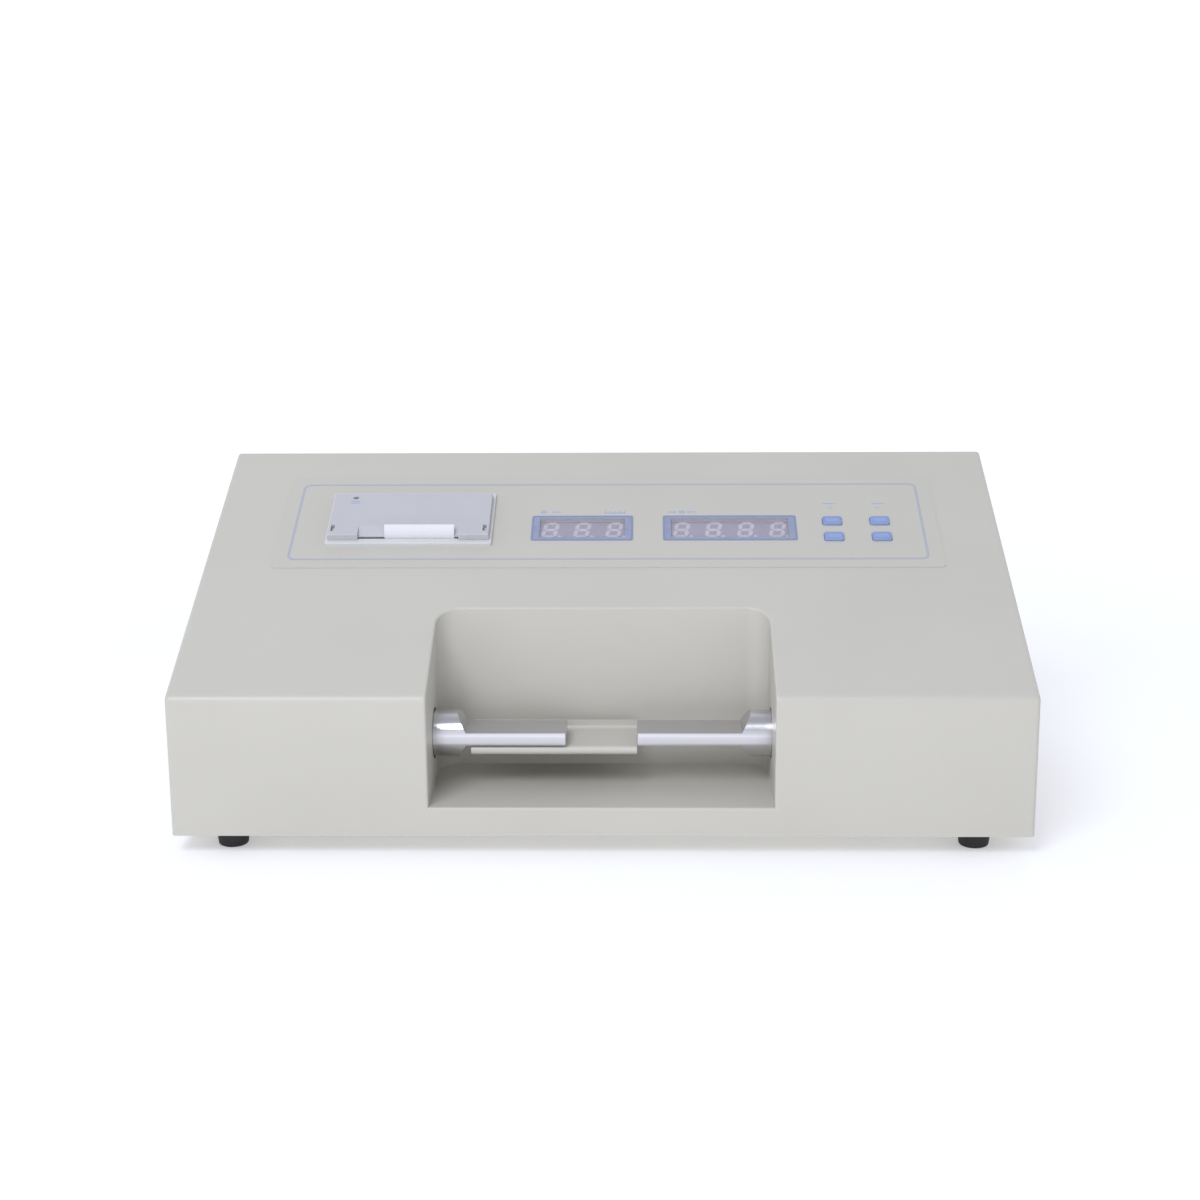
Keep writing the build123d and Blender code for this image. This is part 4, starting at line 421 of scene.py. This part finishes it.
# %% What is moulded from which plastic
cool_abs = moulded("cool_grey_abs", "#BABABD", "#BEBEC1", 0.50)
frame_abs = moulded("warm_grey_abs", "#CDCDCD", "#D1D1D1", 0.45)
black_nylon = moulded("black_glass_filled_nylon", "#141415", "#1C1C1E", 0.48, depth=0.03)
blue_silicone = moulded("blue_silicone_rubber", "#7E92BF", "#869AC7", 0.55, grain_size=0.4)
dress(cool_abs, "printer_cover", "feed_gearcase")
dress(frame_abs, "printer_frame")
dress(
    black_nylon,
    "power_inlet",
    "switch_body",
    "power_rocker",
    "fuse_holder",
    "key_switches",
    "limit_switches",
    "roll_spindle",
    "board_parts",
)
dress(blue_silicone, "lower_left_key", "upper_left_key", "lower_right_key", "upper_right_key")

# %% [markdown]
# ## Rubber
#
# The feet and the platen are black nitrile rubber: almost no colour, a dull bloom and a
# slightly lumpy skin. Black rubber is never pure black, or its shape would vanish.

# %% Rubber
nitrile = moulded("black_nitrile_rubber", "#17171A", "#232326", 0.68, grain_size=1.0, depth=0.05)
dress(nitrile, "feet", "platen_roller")


# %% [markdown]
# ## The displays
#
# Behind each anti-glare window stands a module of seven-segment digits. Switched off, the
# segments are milky plastic in a mauve grey body. The window is thin smoked acrylic with
# a matt face, etched finer than the 0.4 mm drawn here. So thin a sheet hardly bends
# light, so instead of tracing glass it is a film of low alpha: it veils the digits a
# little and keeps its own dull gloss. Beside the displays are two small lamps of clear
# epoxy, which look glossy and a little blue.

# %% Smoked window
etch_grain = 0.4


def smoked_acrylic():
    """A thin veil with a dull gloss of its own."""
    material, tree, place = begin("smoked_anti_glare_acrylic")
    etch = add(
        tree,
        "ShaderNodeTexNoise",
        {"Vector": place, "Scale": per_metre(etch_grain), "Detail": 1.0},
    )
    relief = add(
        tree,
        "ShaderNodeBump",
        {"Height": etch.outputs[0], "Strength": 0.15, "Distance": 0.01 * MM},
    )
    skin = add(
        tree,
        "ShaderNodeBsdfPrincipled",
        {
            "Base Color": linear("#B6B2BE"),
            "Roughness": 0.35,
            "Alpha": 0.25,
            "IOR": 1.49,
            "Normal": relief.outputs["Normal"],
        },
    )
    add(tree, "ShaderNodeOutputMaterial", {"Surface": skin.outputs["BSDF"]})
    return material


# %% What the displays and lamps are made of
module_epoxy = moulded("mauve_grey_epoxy", "#B4B1BE", "#B9B6C3", 0.6)
segment_plastic = moulded("milky_segment_plastic", "#F2ECF2", "#F6F1F6", 0.4)
lamp_epoxy = moulded("clear_lamp_epoxy", "#A9B2C4", "#B2BACB", 0.25)
dress(smoked_acrylic(), "display_lenses")
dress(module_epoxy, "display_modules")
dress(segment_plastic, "display_digits")
dress(lamp_epoxy, "indicator_lamps")


# %% [markdown]
# ## Thermal paper
#
# Receipt paper is bright, slightly blue and calendered smooth, but light still catches
# the felt of its fibres. A noise stretched across the paper gives that felt, drawn a few
# times as coarse as real fibres so that it shows.

# %% Thermal paper
fibre_length = 3.0
fibre_width = 0.5


def thermal_paper():
    """Bright, smooth paper with a faint felt."""
    material, tree, place = begin("calendered_thermal_paper")
    long, fine = per_metre(fibre_length), per_metre(fibre_width)
    across = add(tree, "ShaderNodeMapping", {"Vector": place, "Scale": (long, fine, fine)})
    fibre = add(
        tree, "ShaderNodeTexNoise", {"Vector": across.outputs[0], "Scale": 1.0, "Detail": 4.0}
    )
    tint = add(tree, "ShaderNodeValToRGB", {"Fac": fibre.outputs[0]})
    tint.color_ramp.elements[0].color = linear("#DADADD")
    tint.color_ramp.elements[1].color = linear("#E1E1E4")
    relief = add(
        tree,
        "ShaderNodeBump",
        {"Height": fibre.outputs[0], "Strength": 0.25, "Distance": 0.02 * MM},
    )
    skin = add(
        tree,
        "ShaderNodeBsdfPrincipled",
        {
            "Base Color": tint.outputs["Color"],
            "Roughness": 0.6,
            "Normal": relief.outputs["Normal"],
            "IOR": 1.5,
        },
    )
    add(tree, "ShaderNodeOutputMaterial", {"Surface": skin.outputs["BSDF"]})
    return material


paper = thermal_paper()
dress(paper, "paper_roll")


# %% [markdown]
# ## Bare metals inside
#
# The load frame is milled aluminium plate, the screw and rods are ground steel, the nut
# and bushes are bronze, and the screws are zinc plated. Each is the same recipe: a
# metal's colour, a roughness, and the marks of the tool that cut it, which draw the
# highlight out across them. The marks are given as millimetres along X, Y and Z, and are
# a few times as coarse as real ones, which would be too fine to show.

# %% Machined metal
def machined(name, colour, roughness, marks=(60.0, 0.4, 0.4)):
    """A bare metal with tool marks of this size along X, Y and Z, in millimetres."""
    material, tree, place = begin(name)
    spread = 0.08
    lay = add(
        tree,
        "ShaderNodeMapping",
        {"Vector": place, "Scale": tuple(per_metre(mark) for mark in marks)},
    )
    cuts = add(tree, "ShaderNodeTexNoise", {"Vector": lay.outputs[0], "Scale": 1.0, "Detail": 2.0})
    relief = add(
        tree,
        "ShaderNodeBump",
        {"Height": cuts.outputs[0], "Strength": 0.25, "Distance": 0.01 * MM},
    )
    gloss = add(
        tree,
        "ShaderNodeMapRange",
        {"Value": cuts.outputs[0], "To Min": roughness - spread, "To Max": roughness + spread},
    )
    skin = add(
        tree,
        "ShaderNodeBsdfPrincipled",
        {
            "Base Color": linear(colour),
            "Metallic": 1.0,
            "Roughness": gloss.outputs["Result"],
            "Normal": relief.outputs["Normal"],
        },
    )
    add(tree, "ShaderNodeOutputMaterial", {"Surface": skin.outputs["BSDF"]})
    return material


# %% What is made of which metal
plate = machined("milled_aluminium_plate", "#D9DADF", 0.38)
ground = machined("ground_tool_steel", "#B9BABD", 0.22, marks=(0.5, 20.0, 20.0))
bronze = machined("bearing_bronze", "#B98A4E", 0.35, marks=(0.5, 20.0, 20.0))
zinc = machined("zinc_plated_steel", "#C9CBD2", 0.30, marks=(1.5, 1.5, 1.5))
lamination = machined("silicon_steel_laminations", "#5B5C61", 0.50, marks=(30.0, 0.5, 30.0))
dress(
    plate,
    "force_bed",
    "anvil_post",
    "ram_post",
    "drive_plate",
    "carriage",
    "load_cell",
    "print_head",
)
dress(ground, "guide_rods", "lead_screw", "drive_gear", "drive_pinion", "screw_bearings")
dress(bronze, "ram_bush", "carriage_bushes", "lead_nut")
dress(
    zinc,
    "casing_screws",
    "small_screws",
    "foot_screws",
    "frame_screws",
    "lock_nut",
    "hinge_pins",
    "inlet_pins",
    "switch_rail",
)
dress(lamination, "transformer_core")

# %% [markdown]
# ## Coated parts inside
#
# The motor is sprayed black, the transformer's coil is wrapped in yellow tape and the
# boards are coated with green lacquer. To the eye all three are smooth skins with a soft
# gloss, so the recipe for moulded plastic serves them too, with a coarser grain where
# wire or copper shows through the coat.

# %% Coated parts
motor_enamel = moulded("black_motor_enamel", "#1B1B1D", "#242427", 0.35)
coil_tape = moulded("yellow_polyester_tape", "#C8A63C", "#D2B148", 0.35, grain_size=2.0)
solder_mask = moulded("green_solder_mask", "#14532B", "#1B6335", 0.30, grain_size=1.5)
dress(motor_enamel, "motor")
dress(coil_tape, "transformer_coil")
dress(solder_mask, "display_board", "main_board")

# %% [markdown]
# ## Where the panel lies
#
# The panel's ink has to lie on the film, which slopes up at the 22 degrees that the casing
# is bent to. One point of that plane is read from the film's own box: the top of its
# lowest edge. Flat artwork is drawn with X across, Y up the slope and Z off the film, and
# one matrix puts it in place.

# %% The panel's plane
slope = math.radians(22)
film_thickness = 0.4 * MM
film_low, film_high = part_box("control_overlay")
film_corner = Vector((0.0, film_low.y, film_low.z + film_thickness * math.cos(slope)))
on_film = Matrix.Translation(film_corner) @ Matrix.Rotation(slope, 4, "X")


def panel_box(node):
    """A CAD node's lowest and highest corners in the panel's own coordinates."""
    off_film = on_film.inverted()
    corners = [off_film @ vertex.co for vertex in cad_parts[node].data.vertices]
    lowest = Vector([min(corner[axis] for corner in corners) for axis in range(3)])
    highest = Vector([max(corner[axis] for corner in corners) for axis in range(3)])
    return lowest, highest


film_length = panel_box("control_overlay")[1].y
print("film, mm:", round((film_high.x - film_low.x) / MM, 1), "x", round(film_length / MM, 1))

# %% [markdown]
# ## Making a piece
#
# Every new piece is built in a bmesh, moved to its place there, and only then made an
# object, so that the object itself sits at the origin. It rides on a body of the machine
# and is given its material.

# %% Piece helper
def piece(name, shape, material, body):
    """Turn a finished bmesh into an object that rides on a body."""
    bmesh.ops.recalc_face_normals(shape, faces=shape.faces)
    mesh = bpy.data.meshes.new(name)
    shape.to_mesh(mesh)
    shape.free()
    mesh.materials.append(material)
    made = bpy.data.objects.new(name, mesh)
    scene.collection.objects.link(made)
    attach(made, body)
    print(name, "size, mm:", [round(size / MM, 2) for size in made.dimensions])
    return made


# %% [markdown]
# ## Laying ink
#
# Ink could be a picture on the film, but it has a thickness, and its edge catches the
# light. So each print is drawn flat from rectangles with rounded corners, cut to a line
# where only the rim is printed, and pulled up into a coat 0.06 mm thick.

# %% Flat shapes and the coat of ink
ink_thickness = 0.06 * MM
corner_steps = 6


def rounded_sheet(shape, width, length, radius, place=(0, 0, 0)):
    """Add a flat rectangle with rounded corners, centred on a place."""
    corners = bmesh.ops.create_grid(shape, x_segments=1, y_segments=1, size=0.5)["verts"]
    bmesh.ops.scale(shape, verts=corners, vec=(width, length, 1))
    bmesh.ops.translate(shape, verts=corners, vec=place)
    bmesh.ops.bevel(
        shape,
        geom=corners,
        offset=radius,
        segments=corner_steps,
        profile=0.5,
        affect="VERTICES",
        material=-1,
    )


def hollow(shape, line_width):
    """Leave only a line of this width along the rim of a flat shape."""
    inner = shape.faces[:]
    bmesh.ops.inset_region(
        shape, faces=inner, thickness=line_width, use_even_offset=True, use_boundary=True
    )
    bmesh.ops.delete(shape, geom=inner, context="FACES_ONLY")


def lay_ink(name, artwork, place, ink, body):
    """Pull flat artwork up along Z into a coat of ink, and lay it on a face."""
    lifted = bmesh.ops.extrude_face_region(artwork, geom=artwork.faces[:])["geom"]
    top = [item for item in lifted if isinstance(item, bmesh.types.BMVert)]
    bmesh.ops.translate(artwork, verts=top, vec=(0, 0, ink_thickness))
    bmesh.ops.transform(artwork, matrix=place, verts=artwork.verts)
    piece(name, artwork, ink, body)


# %% [markdown]
# ## The border line
#
# A slate blue line, 1.6 mm wide, runs round the panel inside the film's edge. It is a
# rounded rectangle with a smaller one inset and cut out.

# %% Border line
border_margin_side = 8.8 * MM
border_margin_end = 8.1 * MM
border_width = 1.6 * MM
border_radius = 5.0 * MM

border = bmesh.new()
rounded_sheet(
    border,
    film_high.x - film_low.x - 2 * border_margin_side,
    film_length - 2 * border_margin_end,
    border_radius,
    place=((film_low.x + film_high.x) / 2, film_length / 2, 0),
)
hollow(border, border_width)
lay_ink("panel_border_line", border, on_film, border_ink, "root")

# %% [markdown]
# ## The torn paper
#
# The paper rises out of the printer and leans back over the ramp, and its end was torn
# off against a row of teeth. It starts as one edge across the paper, which is pulled up
# the straight part and spun round the curl. Then every other point of the last row is
# drawn back for the teeth, and the sheet gets its thickness. It replaces the plain strip.

# %% Sizes of the paper's end
tail_low, tail_high = panel_box("paper_tail")
tail_straight = 2.4 * MM
tail_thickness = 0.12 * MM
tooth_pitch = 1.4 * MM
tooth_depth = 0.45 * MM
curl_steps = 14

tail_width = tail_high.x - tail_low.x
curl_run = tail_high.y - tail_low.y
curl_rise = tail_high.z - tail_low.z - tail_straight
curl_radius = (curl_run**2 + curl_rise**2) / (2 * curl_run)
curl_angle = 2 * math.atan2(curl_run, curl_rise)
print("curl radius, mm:", round(curl_radius / MM, 1), "angle:", round(math.degrees(curl_angle)))

# %% The paper's end
tail = bmesh.new()
first = tail.verts.new((tail_low.x, tail_low.y, tail_low.z))
last = tail.verts.new((tail_high.x, tail_low.y, tail_low.z))
foot = tail.edges.new((first, last))
bmesh.ops.subdivide_edges(tail, edges=[foot], cuts=2 * round(tail_width / tooth_pitch) - 1)
pulled = bmesh.ops.extrude_edge_only(tail, edges=tail.edges[:])["geom"]
top_points = [item for item in pulled if isinstance(item, bmesh.types.BMVert)]
top_edges = [item for item in pulled if isinstance(item, bmesh.types.BMEdge)]
row = [edge for edge in top_edges if all(corner in top_points for corner in edge.verts)]
bmesh.ops.translate(tail, verts=top_points, vec=(0, 0, tail_straight))
curled = bmesh.ops.spin(
    tail,
    geom=row + top_points,
    cent=(0, tail_low.y + curl_radius, tail_low.z + tail_straight),
    axis=(1, 0, 0),
    dvec=(0, 0, 0),
    angle=-curl_angle,
    steps=curl_steps,
    use_merge=False,
)["geom_last"]

# %% Its teeth and its thickness
torn = sorted((v for v in curled if isinstance(v, bmesh.types.BMVert)), key=lambda v: v.co.x)
backwards = Vector((0, -math.sin(curl_angle), -math.cos(curl_angle)))
bmesh.ops.translate(tail, verts=torn[::2], vec=backwards * tooth_depth)
bmesh.ops.recalc_face_normals(tail, faces=tail.faces)
bmesh.ops.solidify(tail, geom=tail.faces[:], thickness=tail_thickness)
bmesh.ops.transform(tail, matrix=on_film, verts=tail.verts)
torn_paper = piece("torn_paper", tail, paper, "printer_lid")
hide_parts("paper_tail")

# %% [markdown]
# ## Signs on the film
#
# Small pictures on the panel say what the displays and the lamps are for. A tablet with
# an arrow and a ruler stands over the left display, a tablet pressed between two arrows
# over the right one, and a dash over each lamp. Each is a few flat shapes laid as ink.

# %% Shapes for the signs
circle_steps = 32


def disc(shape, radius, place=(0, 0, 0)):
    """Add a flat filled circle centred on a place, and return its corners."""
    corners = bmesh.ops.create_circle(
        shape, cap_ends=True, segments=circle_steps, radius=radius
    )["verts"]
    bmesh.ops.translate(shape, verts=corners, vec=place)
    return corners


def arrow(shape, tip, length, height, turn):
    """Add a flat arrow whose tip is at a place and which points along X when unturned."""
    turned = Matrix.Translation(tip) @ Matrix.Rotation(turn, 4, "Z")
    reach = height / math.sqrt(3)
    head = bmesh.ops.create_circle(shape, cap_ends=True, segments=3, radius=reach)["verts"]
    pointing = Matrix.Translation((-reach, 0, 0)) @ Matrix.Rotation(math.radians(-90), 4, "Z")
    bmesh.ops.transform(shape, matrix=turned @ pointing, verts=head)
    shaft = bmesh.ops.create_grid(shape, x_segments=1, y_segments=1, size=0.5)["verts"]
    bmesh.ops.scale(shape, verts=shaft, vec=(length - height, height / 3, 1))
    behind = Matrix.Translation((-(length + height) / 2, 0, 0))
    bmesh.ops.transform(shape, matrix=turned @ behind, verts=shaft)


# %% Where the signs go
bezel_low, bezel_high = panel_box("display_bezels")
left_frame_end = 17.4 * MM  # the two frames' sides that face each other
right_frame_start = 36.1 * MM
sign_rise = 4.6 * MM
sign_y = bezel_high.y + sign_rise
left_tablet_x = bezel_low.x + 7 * MM
right_tablet_x = right_frame_start + 12 * MM
print("signs stand", round(sign_y / MM, 1), "mm up the film")

# %% Tablets
tablet_radius = 1.9 * MM
break_gap = 0.6 * MM


def tablet_sign(shape, x):
    """Add a round tablet, with its break line left bare."""
    for half in (-1, 1):
        corners = disc(shape, tablet_radius, (x, sign_y, 0))
        rim = list({edge for corner in corners for edge in corner.link_edges})
        bmesh.ops.bisect_plane(
            shape,
            geom=corners + rim + list(rim[0].link_faces),
            plane_co=(x + half * break_gap / 2, sign_y, 0),
            plane_no=(-half, 0, 0),
            clear_outer=True,
        )


signs = bmesh.new()
tablet_sign(signs, left_tablet_x)
tablet_sign(signs, right_tablet_x)

# %% Arrows
arrow_length = 6.0 * MM
arrow_height = 2.6 * MM
wide_gap = 5.0 * MM
narrow_gap = 3.0 * MM
arrow_tips = (
    (left_tablet_x + wide_gap, math.pi),
    (right_tablet_x - narrow_gap, 0.0),
    (right_tablet_x + narrow_gap, math.pi),
)
for tip_x, turn in arrow_tips:
    arrow(signs, (tip_x, sign_y, 0), arrow_length, arrow_height, turn)

# %% Ruler
ruler_x = bezel_low.x + 52.0 * MM
ruler_width = 13.0 * MM
ruler_y = sign_y - 1.2 * MM
tick_height = 2.4 * MM
tick_pitch = 3.0 * MM
tick_y = sign_y + 0.1 * MM
stroke = 0.7 * MM
stroke_corner = 0.2 * MM
rounded_sheet(signs, ruler_width, stroke, stroke_corner, place=(ruler_x, ruler_y, 0))
for tick in (-2, -1, 0, 1, 2):
    tick_place = (ruler_x + tick * tick_pitch, tick_y, 0)
    rounded_sheet(signs, stroke, tick_height, stroke_corner, place=tick_place)

# %% Dashes over the lamps
lamp_low, lamp_high = panel_box("indicator_lamps")
lamp_radius = 1.3 * MM
lamp_dash_width = 8.0 * MM
lamp_dash_height = 0.9 * MM
lamp_dash_corner = 0.3 * MM
lamp_dash_y = lamp_high.y + 2.6 * MM
for lamp_x in (lamp_low.x + lamp_radius, lamp_high.x - lamp_radius):
    rounded_sheet(
        signs,
        lamp_dash_width,
        lamp_dash_height,
        lamp_dash_corner,
        place=(lamp_x, lamp_dash_y, 0),
    )
lay_ink("panel_signs", signs, on_film, sign_ink, "root")

# %% [markdown]
# ## Marks on the keys
#
# Each silicone key is printed with a pale bar. The bar has to travel with the key when it
# is pressed, so it rides on the key's own body, and one loop prints all four.

# %% Marks on the keys
key_mark_width = 8.4 * MM
key_mark_length = 3.6 * MM
key_mark_corner = 1.0 * MM
for place in ("lower_left", "upper_left", "lower_right", "upper_right"):
    key_low, key_high = panel_box(place + "_key")
    middle = ((key_low.x + key_high.x) / 2, (key_low.y + key_high.y) / 2, key_high.z)
    mark = bmesh.new()
    rounded_sheet(mark, key_mark_width, key_mark_length, key_mark_corner)
    on_key = on_film @ Matrix.Translation(middle)
    lay_ink(place + "_key_mark", mark, on_key, pale_ink, place + "_button")

# %% [markdown]
# ## Outline of the display frames
#
# The frames round the displays are printed darker along their outer edge. Both are on one
# CAD node, whose box gives only the outer sides, so the two sides that face each other
# are the sizes named above.

# %% Outline of the display frames
outline_width = 1.3 * MM
outline_corner = 1.5 * MM
frame_sides = {
    "left": (bezel_low.x, left_frame_end),
    "right": (right_frame_start, bezel_high.x),
}
for side, (start, end) in frame_sides.items():
    outline = bmesh.new()
    rounded_sheet(
        outline,
        end - start,
        bezel_high.y - bezel_low.y,
        outline_corner,
        place=((start + end) / 2, (bezel_low.y + bezel_high.y) / 2, bezel_high.z),
    )
    hollow(outline, outline_width)
    lay_ink(side + "_display_outline", outline, on_film, outline_ink, "root")

# %% [markdown]
# ## Dashes on the printer's cover
#
# Two short dashes below the small feed lamp mark it. They ride on the cover, because it
# swings up for a new roll of paper.

# %% Dashes on the printer's cover
cover_low, cover_high = panel_box("printer_cover")
feed_lamp_x = cover_low.x + 13.6 * MM  # the middle of the lamp in the cover
feed_lamp_y = cover_low.y + 41.7 * MM
dash_drops = (4.0 * MM, 6.2 * MM)
dash_width = 6.0 * MM
dash_height = 0.6 * MM
dash_corner = 0.25 * MM
dashes = bmesh.new()
for drop in dash_drops:
    dash_place = (feed_lamp_x, feed_lamp_y - drop, cover_high.z)
    rounded_sheet(dashes, dash_width, dash_height, dash_corner, place=dash_place)
lay_ink("feed_lamp_dashes", dashes, on_film, pale_ink, "printer_lid")

# %% [markdown]
# ## Line and ring on the mains switch
#
# The rocker has two faces that meet at a blunt angle, one for on and one for off. The
# place and the tilt of each are read from the faces of the CAD node that look backwards,
# so the marks lie flat on them and rock with the switch.

# %% The rocker's two faces
backward_facing = 0.7
pivot_band = 0.5 * MM
rocker_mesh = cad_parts["power_rocker"].data
rocker_low, rocker_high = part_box("power_rocker")
rocker_middle = (rocker_low.z + rocker_high.z) / 2


def on_rocker(end):
    """The place of the rocker's upper or lower face: X to the right, seen from behind."""
    picked = [
        face
        for face in rocker_mesh.polygons
        if face.normal.y > backward_facing
        and (face.center.z - rocker_middle) * end > pivot_band
    ]
    area = sum(face.area for face in picked)
    centre = sum((face.center * face.area for face in picked), Vector()) / area
    normal = sum((face.normal * face.area for face in picked), Vector()).normalized()
    right = Vector((-1, 0, 0))
    axes = Matrix((right, normal.cross(right), normal)).transposed().to_4x4()
    return Matrix.Translation(centre) @ axes


# %% Line and ring
rocker_stroke = 0.8 * MM
rocker_line_length = 4.2 * MM
rocker_line_corner = 0.2 * MM
ring_radius = 2.2 * MM
ring_width = 0.7 * MM

line_mark = bmesh.new()
rounded_sheet(line_mark, rocker_stroke, rocker_line_length, rocker_line_corner)
lay_ink("rocker_line", line_mark, on_rocker(1), outline_ink, "rocker")

ring_mark = bmesh.new()
disc(ring_mark, ring_radius)
hollow(ring_mark, ring_width)
lay_ink("rocker_ring", ring_mark, on_rocker(-1), outline_ink, "rocker")

# %% [markdown]
# ## The table
#
# The machine stands on a board of white laminate, matt enough to mirror nothing. The
# board also glows faintly, painted light that keeps the shadow under the machine pale. The
# glow grows from half a metre to two metres out, so the far part of the board is as white
# as the wall behind it.

# %% White laminate
board_cloud = 400.0
glow_starts, glow_ends = 0.5, 2.0
glow_near, glow_far = 0.34, 0.64


def matt_board():
    """White laminate that is dull and glows with painted light, more with the distance."""
    material, tree, place = begin("white_laminate_board")
    cloud = add(
        tree,
        "ShaderNodeTexNoise",
        {"Vector": place, "Scale": per_metre(board_cloud), "Detail": 2.0},
    )
    tint = add(tree, "ShaderNodeValToRGB", {"Fac": cloud.outputs[0]})
    tint.color_ramp.elements[0].color = linear("#DADBDE")
    tint.color_ramp.elements[1].color = linear("#DCDDE0")
    away = add(tree, "ShaderNodeVectorMath", {0: place}, operation="LENGTH")
    glow = add(
        tree,
        "ShaderNodeMapRange",
        {
            "Value": away.outputs["Value"],
            "From Min": glow_starts,
            "From Max": glow_ends,
            "To Min": glow_near,
            "To Max": glow_far,
        },
    )
    skin = add(
        tree,
        "ShaderNodeBsdfPrincipled",
        {
            "Base Color": tint.outputs["Color"],
            "Roughness": 0.6,
            "Specular IOR Level": 0.2,
            # painted light: the board's emission lightens the shadow under the machine
            "Emission Color": linear("#FFFFFF"),
            "Emission Strength": glow.outputs["Result"],
        },
    )
    add(tree, "ShaderNodeOutputMaterial", {"Surface": skin.outputs["BSDF"]})
    return material


# %% Table
table_size = 60.0
board = bmesh.new()
bmesh.ops.create_grid(board, x_segments=1, y_segments=1, size=table_size / 2)
table_mesh = bpy.data.meshes.new("table_top")
board.to_mesh(table_mesh)
board.free()
table_mesh.materials.append(matt_board())
table_top = bpy.data.objects.new("table_top", table_mesh)
scene.collection.objects.link(table_top)
print("table, m:", table_size)

# %% [markdown]
# ## The soft boxes
#
# Two soft boxes stand in front of the machine. The stronger one is high on the left and
# draws the bright line along the casing's front bend. The weak one is low and reaches
# under the tray into the well. Their light is a little blue beside the warm paint.

# %% Soft boxes
daylight = "#F2F5FF"
machine_middle = Vector((0.0, 0.0, 80.0)) * MM
box_distance = 2.5
key_direction = Vector((-0.26, -0.66, 0.70))
fill_direction = Vector((-0.08, -0.97, 0.22))


def soft_box(name, direction, size, power):
    """A square area light that stands off from the machine and faces it."""
    lamp = bpy.data.lights.new(name, "AREA")
    lamp.size = size
    lamp.energy = power
    lamp.color = linear(daylight)[:3]
    holder = bpy.data.objects.new(name, lamp)
    scene.collection.objects.link(holder)
    place = machine_middle + box_distance * direction
    facing = (machine_middle - place).to_track_quat("-Z", "Y").to_matrix().to_4x4()
    holder.matrix_world = Matrix.Translation(place) @ facing
    print(name, "power, W:", power)


soft_box("key_soft_box", key_direction, size=1.0, power=30.0)
soft_box("fill_soft_box", fill_direction, size=1.2, power=2.5)

# %% [markdown]
# ## The room
#
# The rest of the light comes from a white room. Only the wall behind the machine and a
# low band all round are quite white, so the table has no horizon, and metal that faces
# another way still has something darker to mirror. Both are worked out from the
# direction in which a ray leaves: Y points to the wall behind and Z to the ceiling.

# %% Brightness of the room
wall_light, room_light = 1.14, 0.62
wall_white_from = 0.92
band_white_below, band_ends_above = 0.03, 0.20

room = bpy.data.worlds.new("white_room")
room.use_nodes = True
walls = room.node_tree
walls.nodes.clear()
looking = add(walls, "ShaderNodeTexCoord").outputs["Generated"]
towards = add(walls, "ShaderNodeSeparateXYZ", {"Vector": looking})
back_wall = add(
    walls,
    "ShaderNodeMapRange",
    {
        "Value": towards.outputs["Y"],
        "From Min": 0.0,
        "From Max": wall_white_from,
        "To Min": room_light,
        "To Max": wall_light,
    },
)
low_band = add(
    walls,
    "ShaderNodeMapRange",
    {
        "Value": towards.outputs["Z"],
        "From Min": band_white_below,
        "From Max": band_ends_above,
        "To Min": wall_light,
        "To Max": room_light,
    },
)
brighter = add(
    walls,
    "ShaderNodeMath",
    {0: back_wall.outputs["Result"], 1: low_band.outputs["Result"]},
    operation="MAXIMUM",
)
print("room light:", room_light, "to", wall_light)

# %% Room
air = add(
    walls,
    "ShaderNodeBackground",
    {"Color": linear(daylight), "Strength": brighter.outputs[0]},
)
add(walls, "ShaderNodeOutputWorld", {"Surface": air.outputs["Background"]})
scene.world = room
scene.view_settings.view_transform = "Standard"
print("world:", scene.world.name)
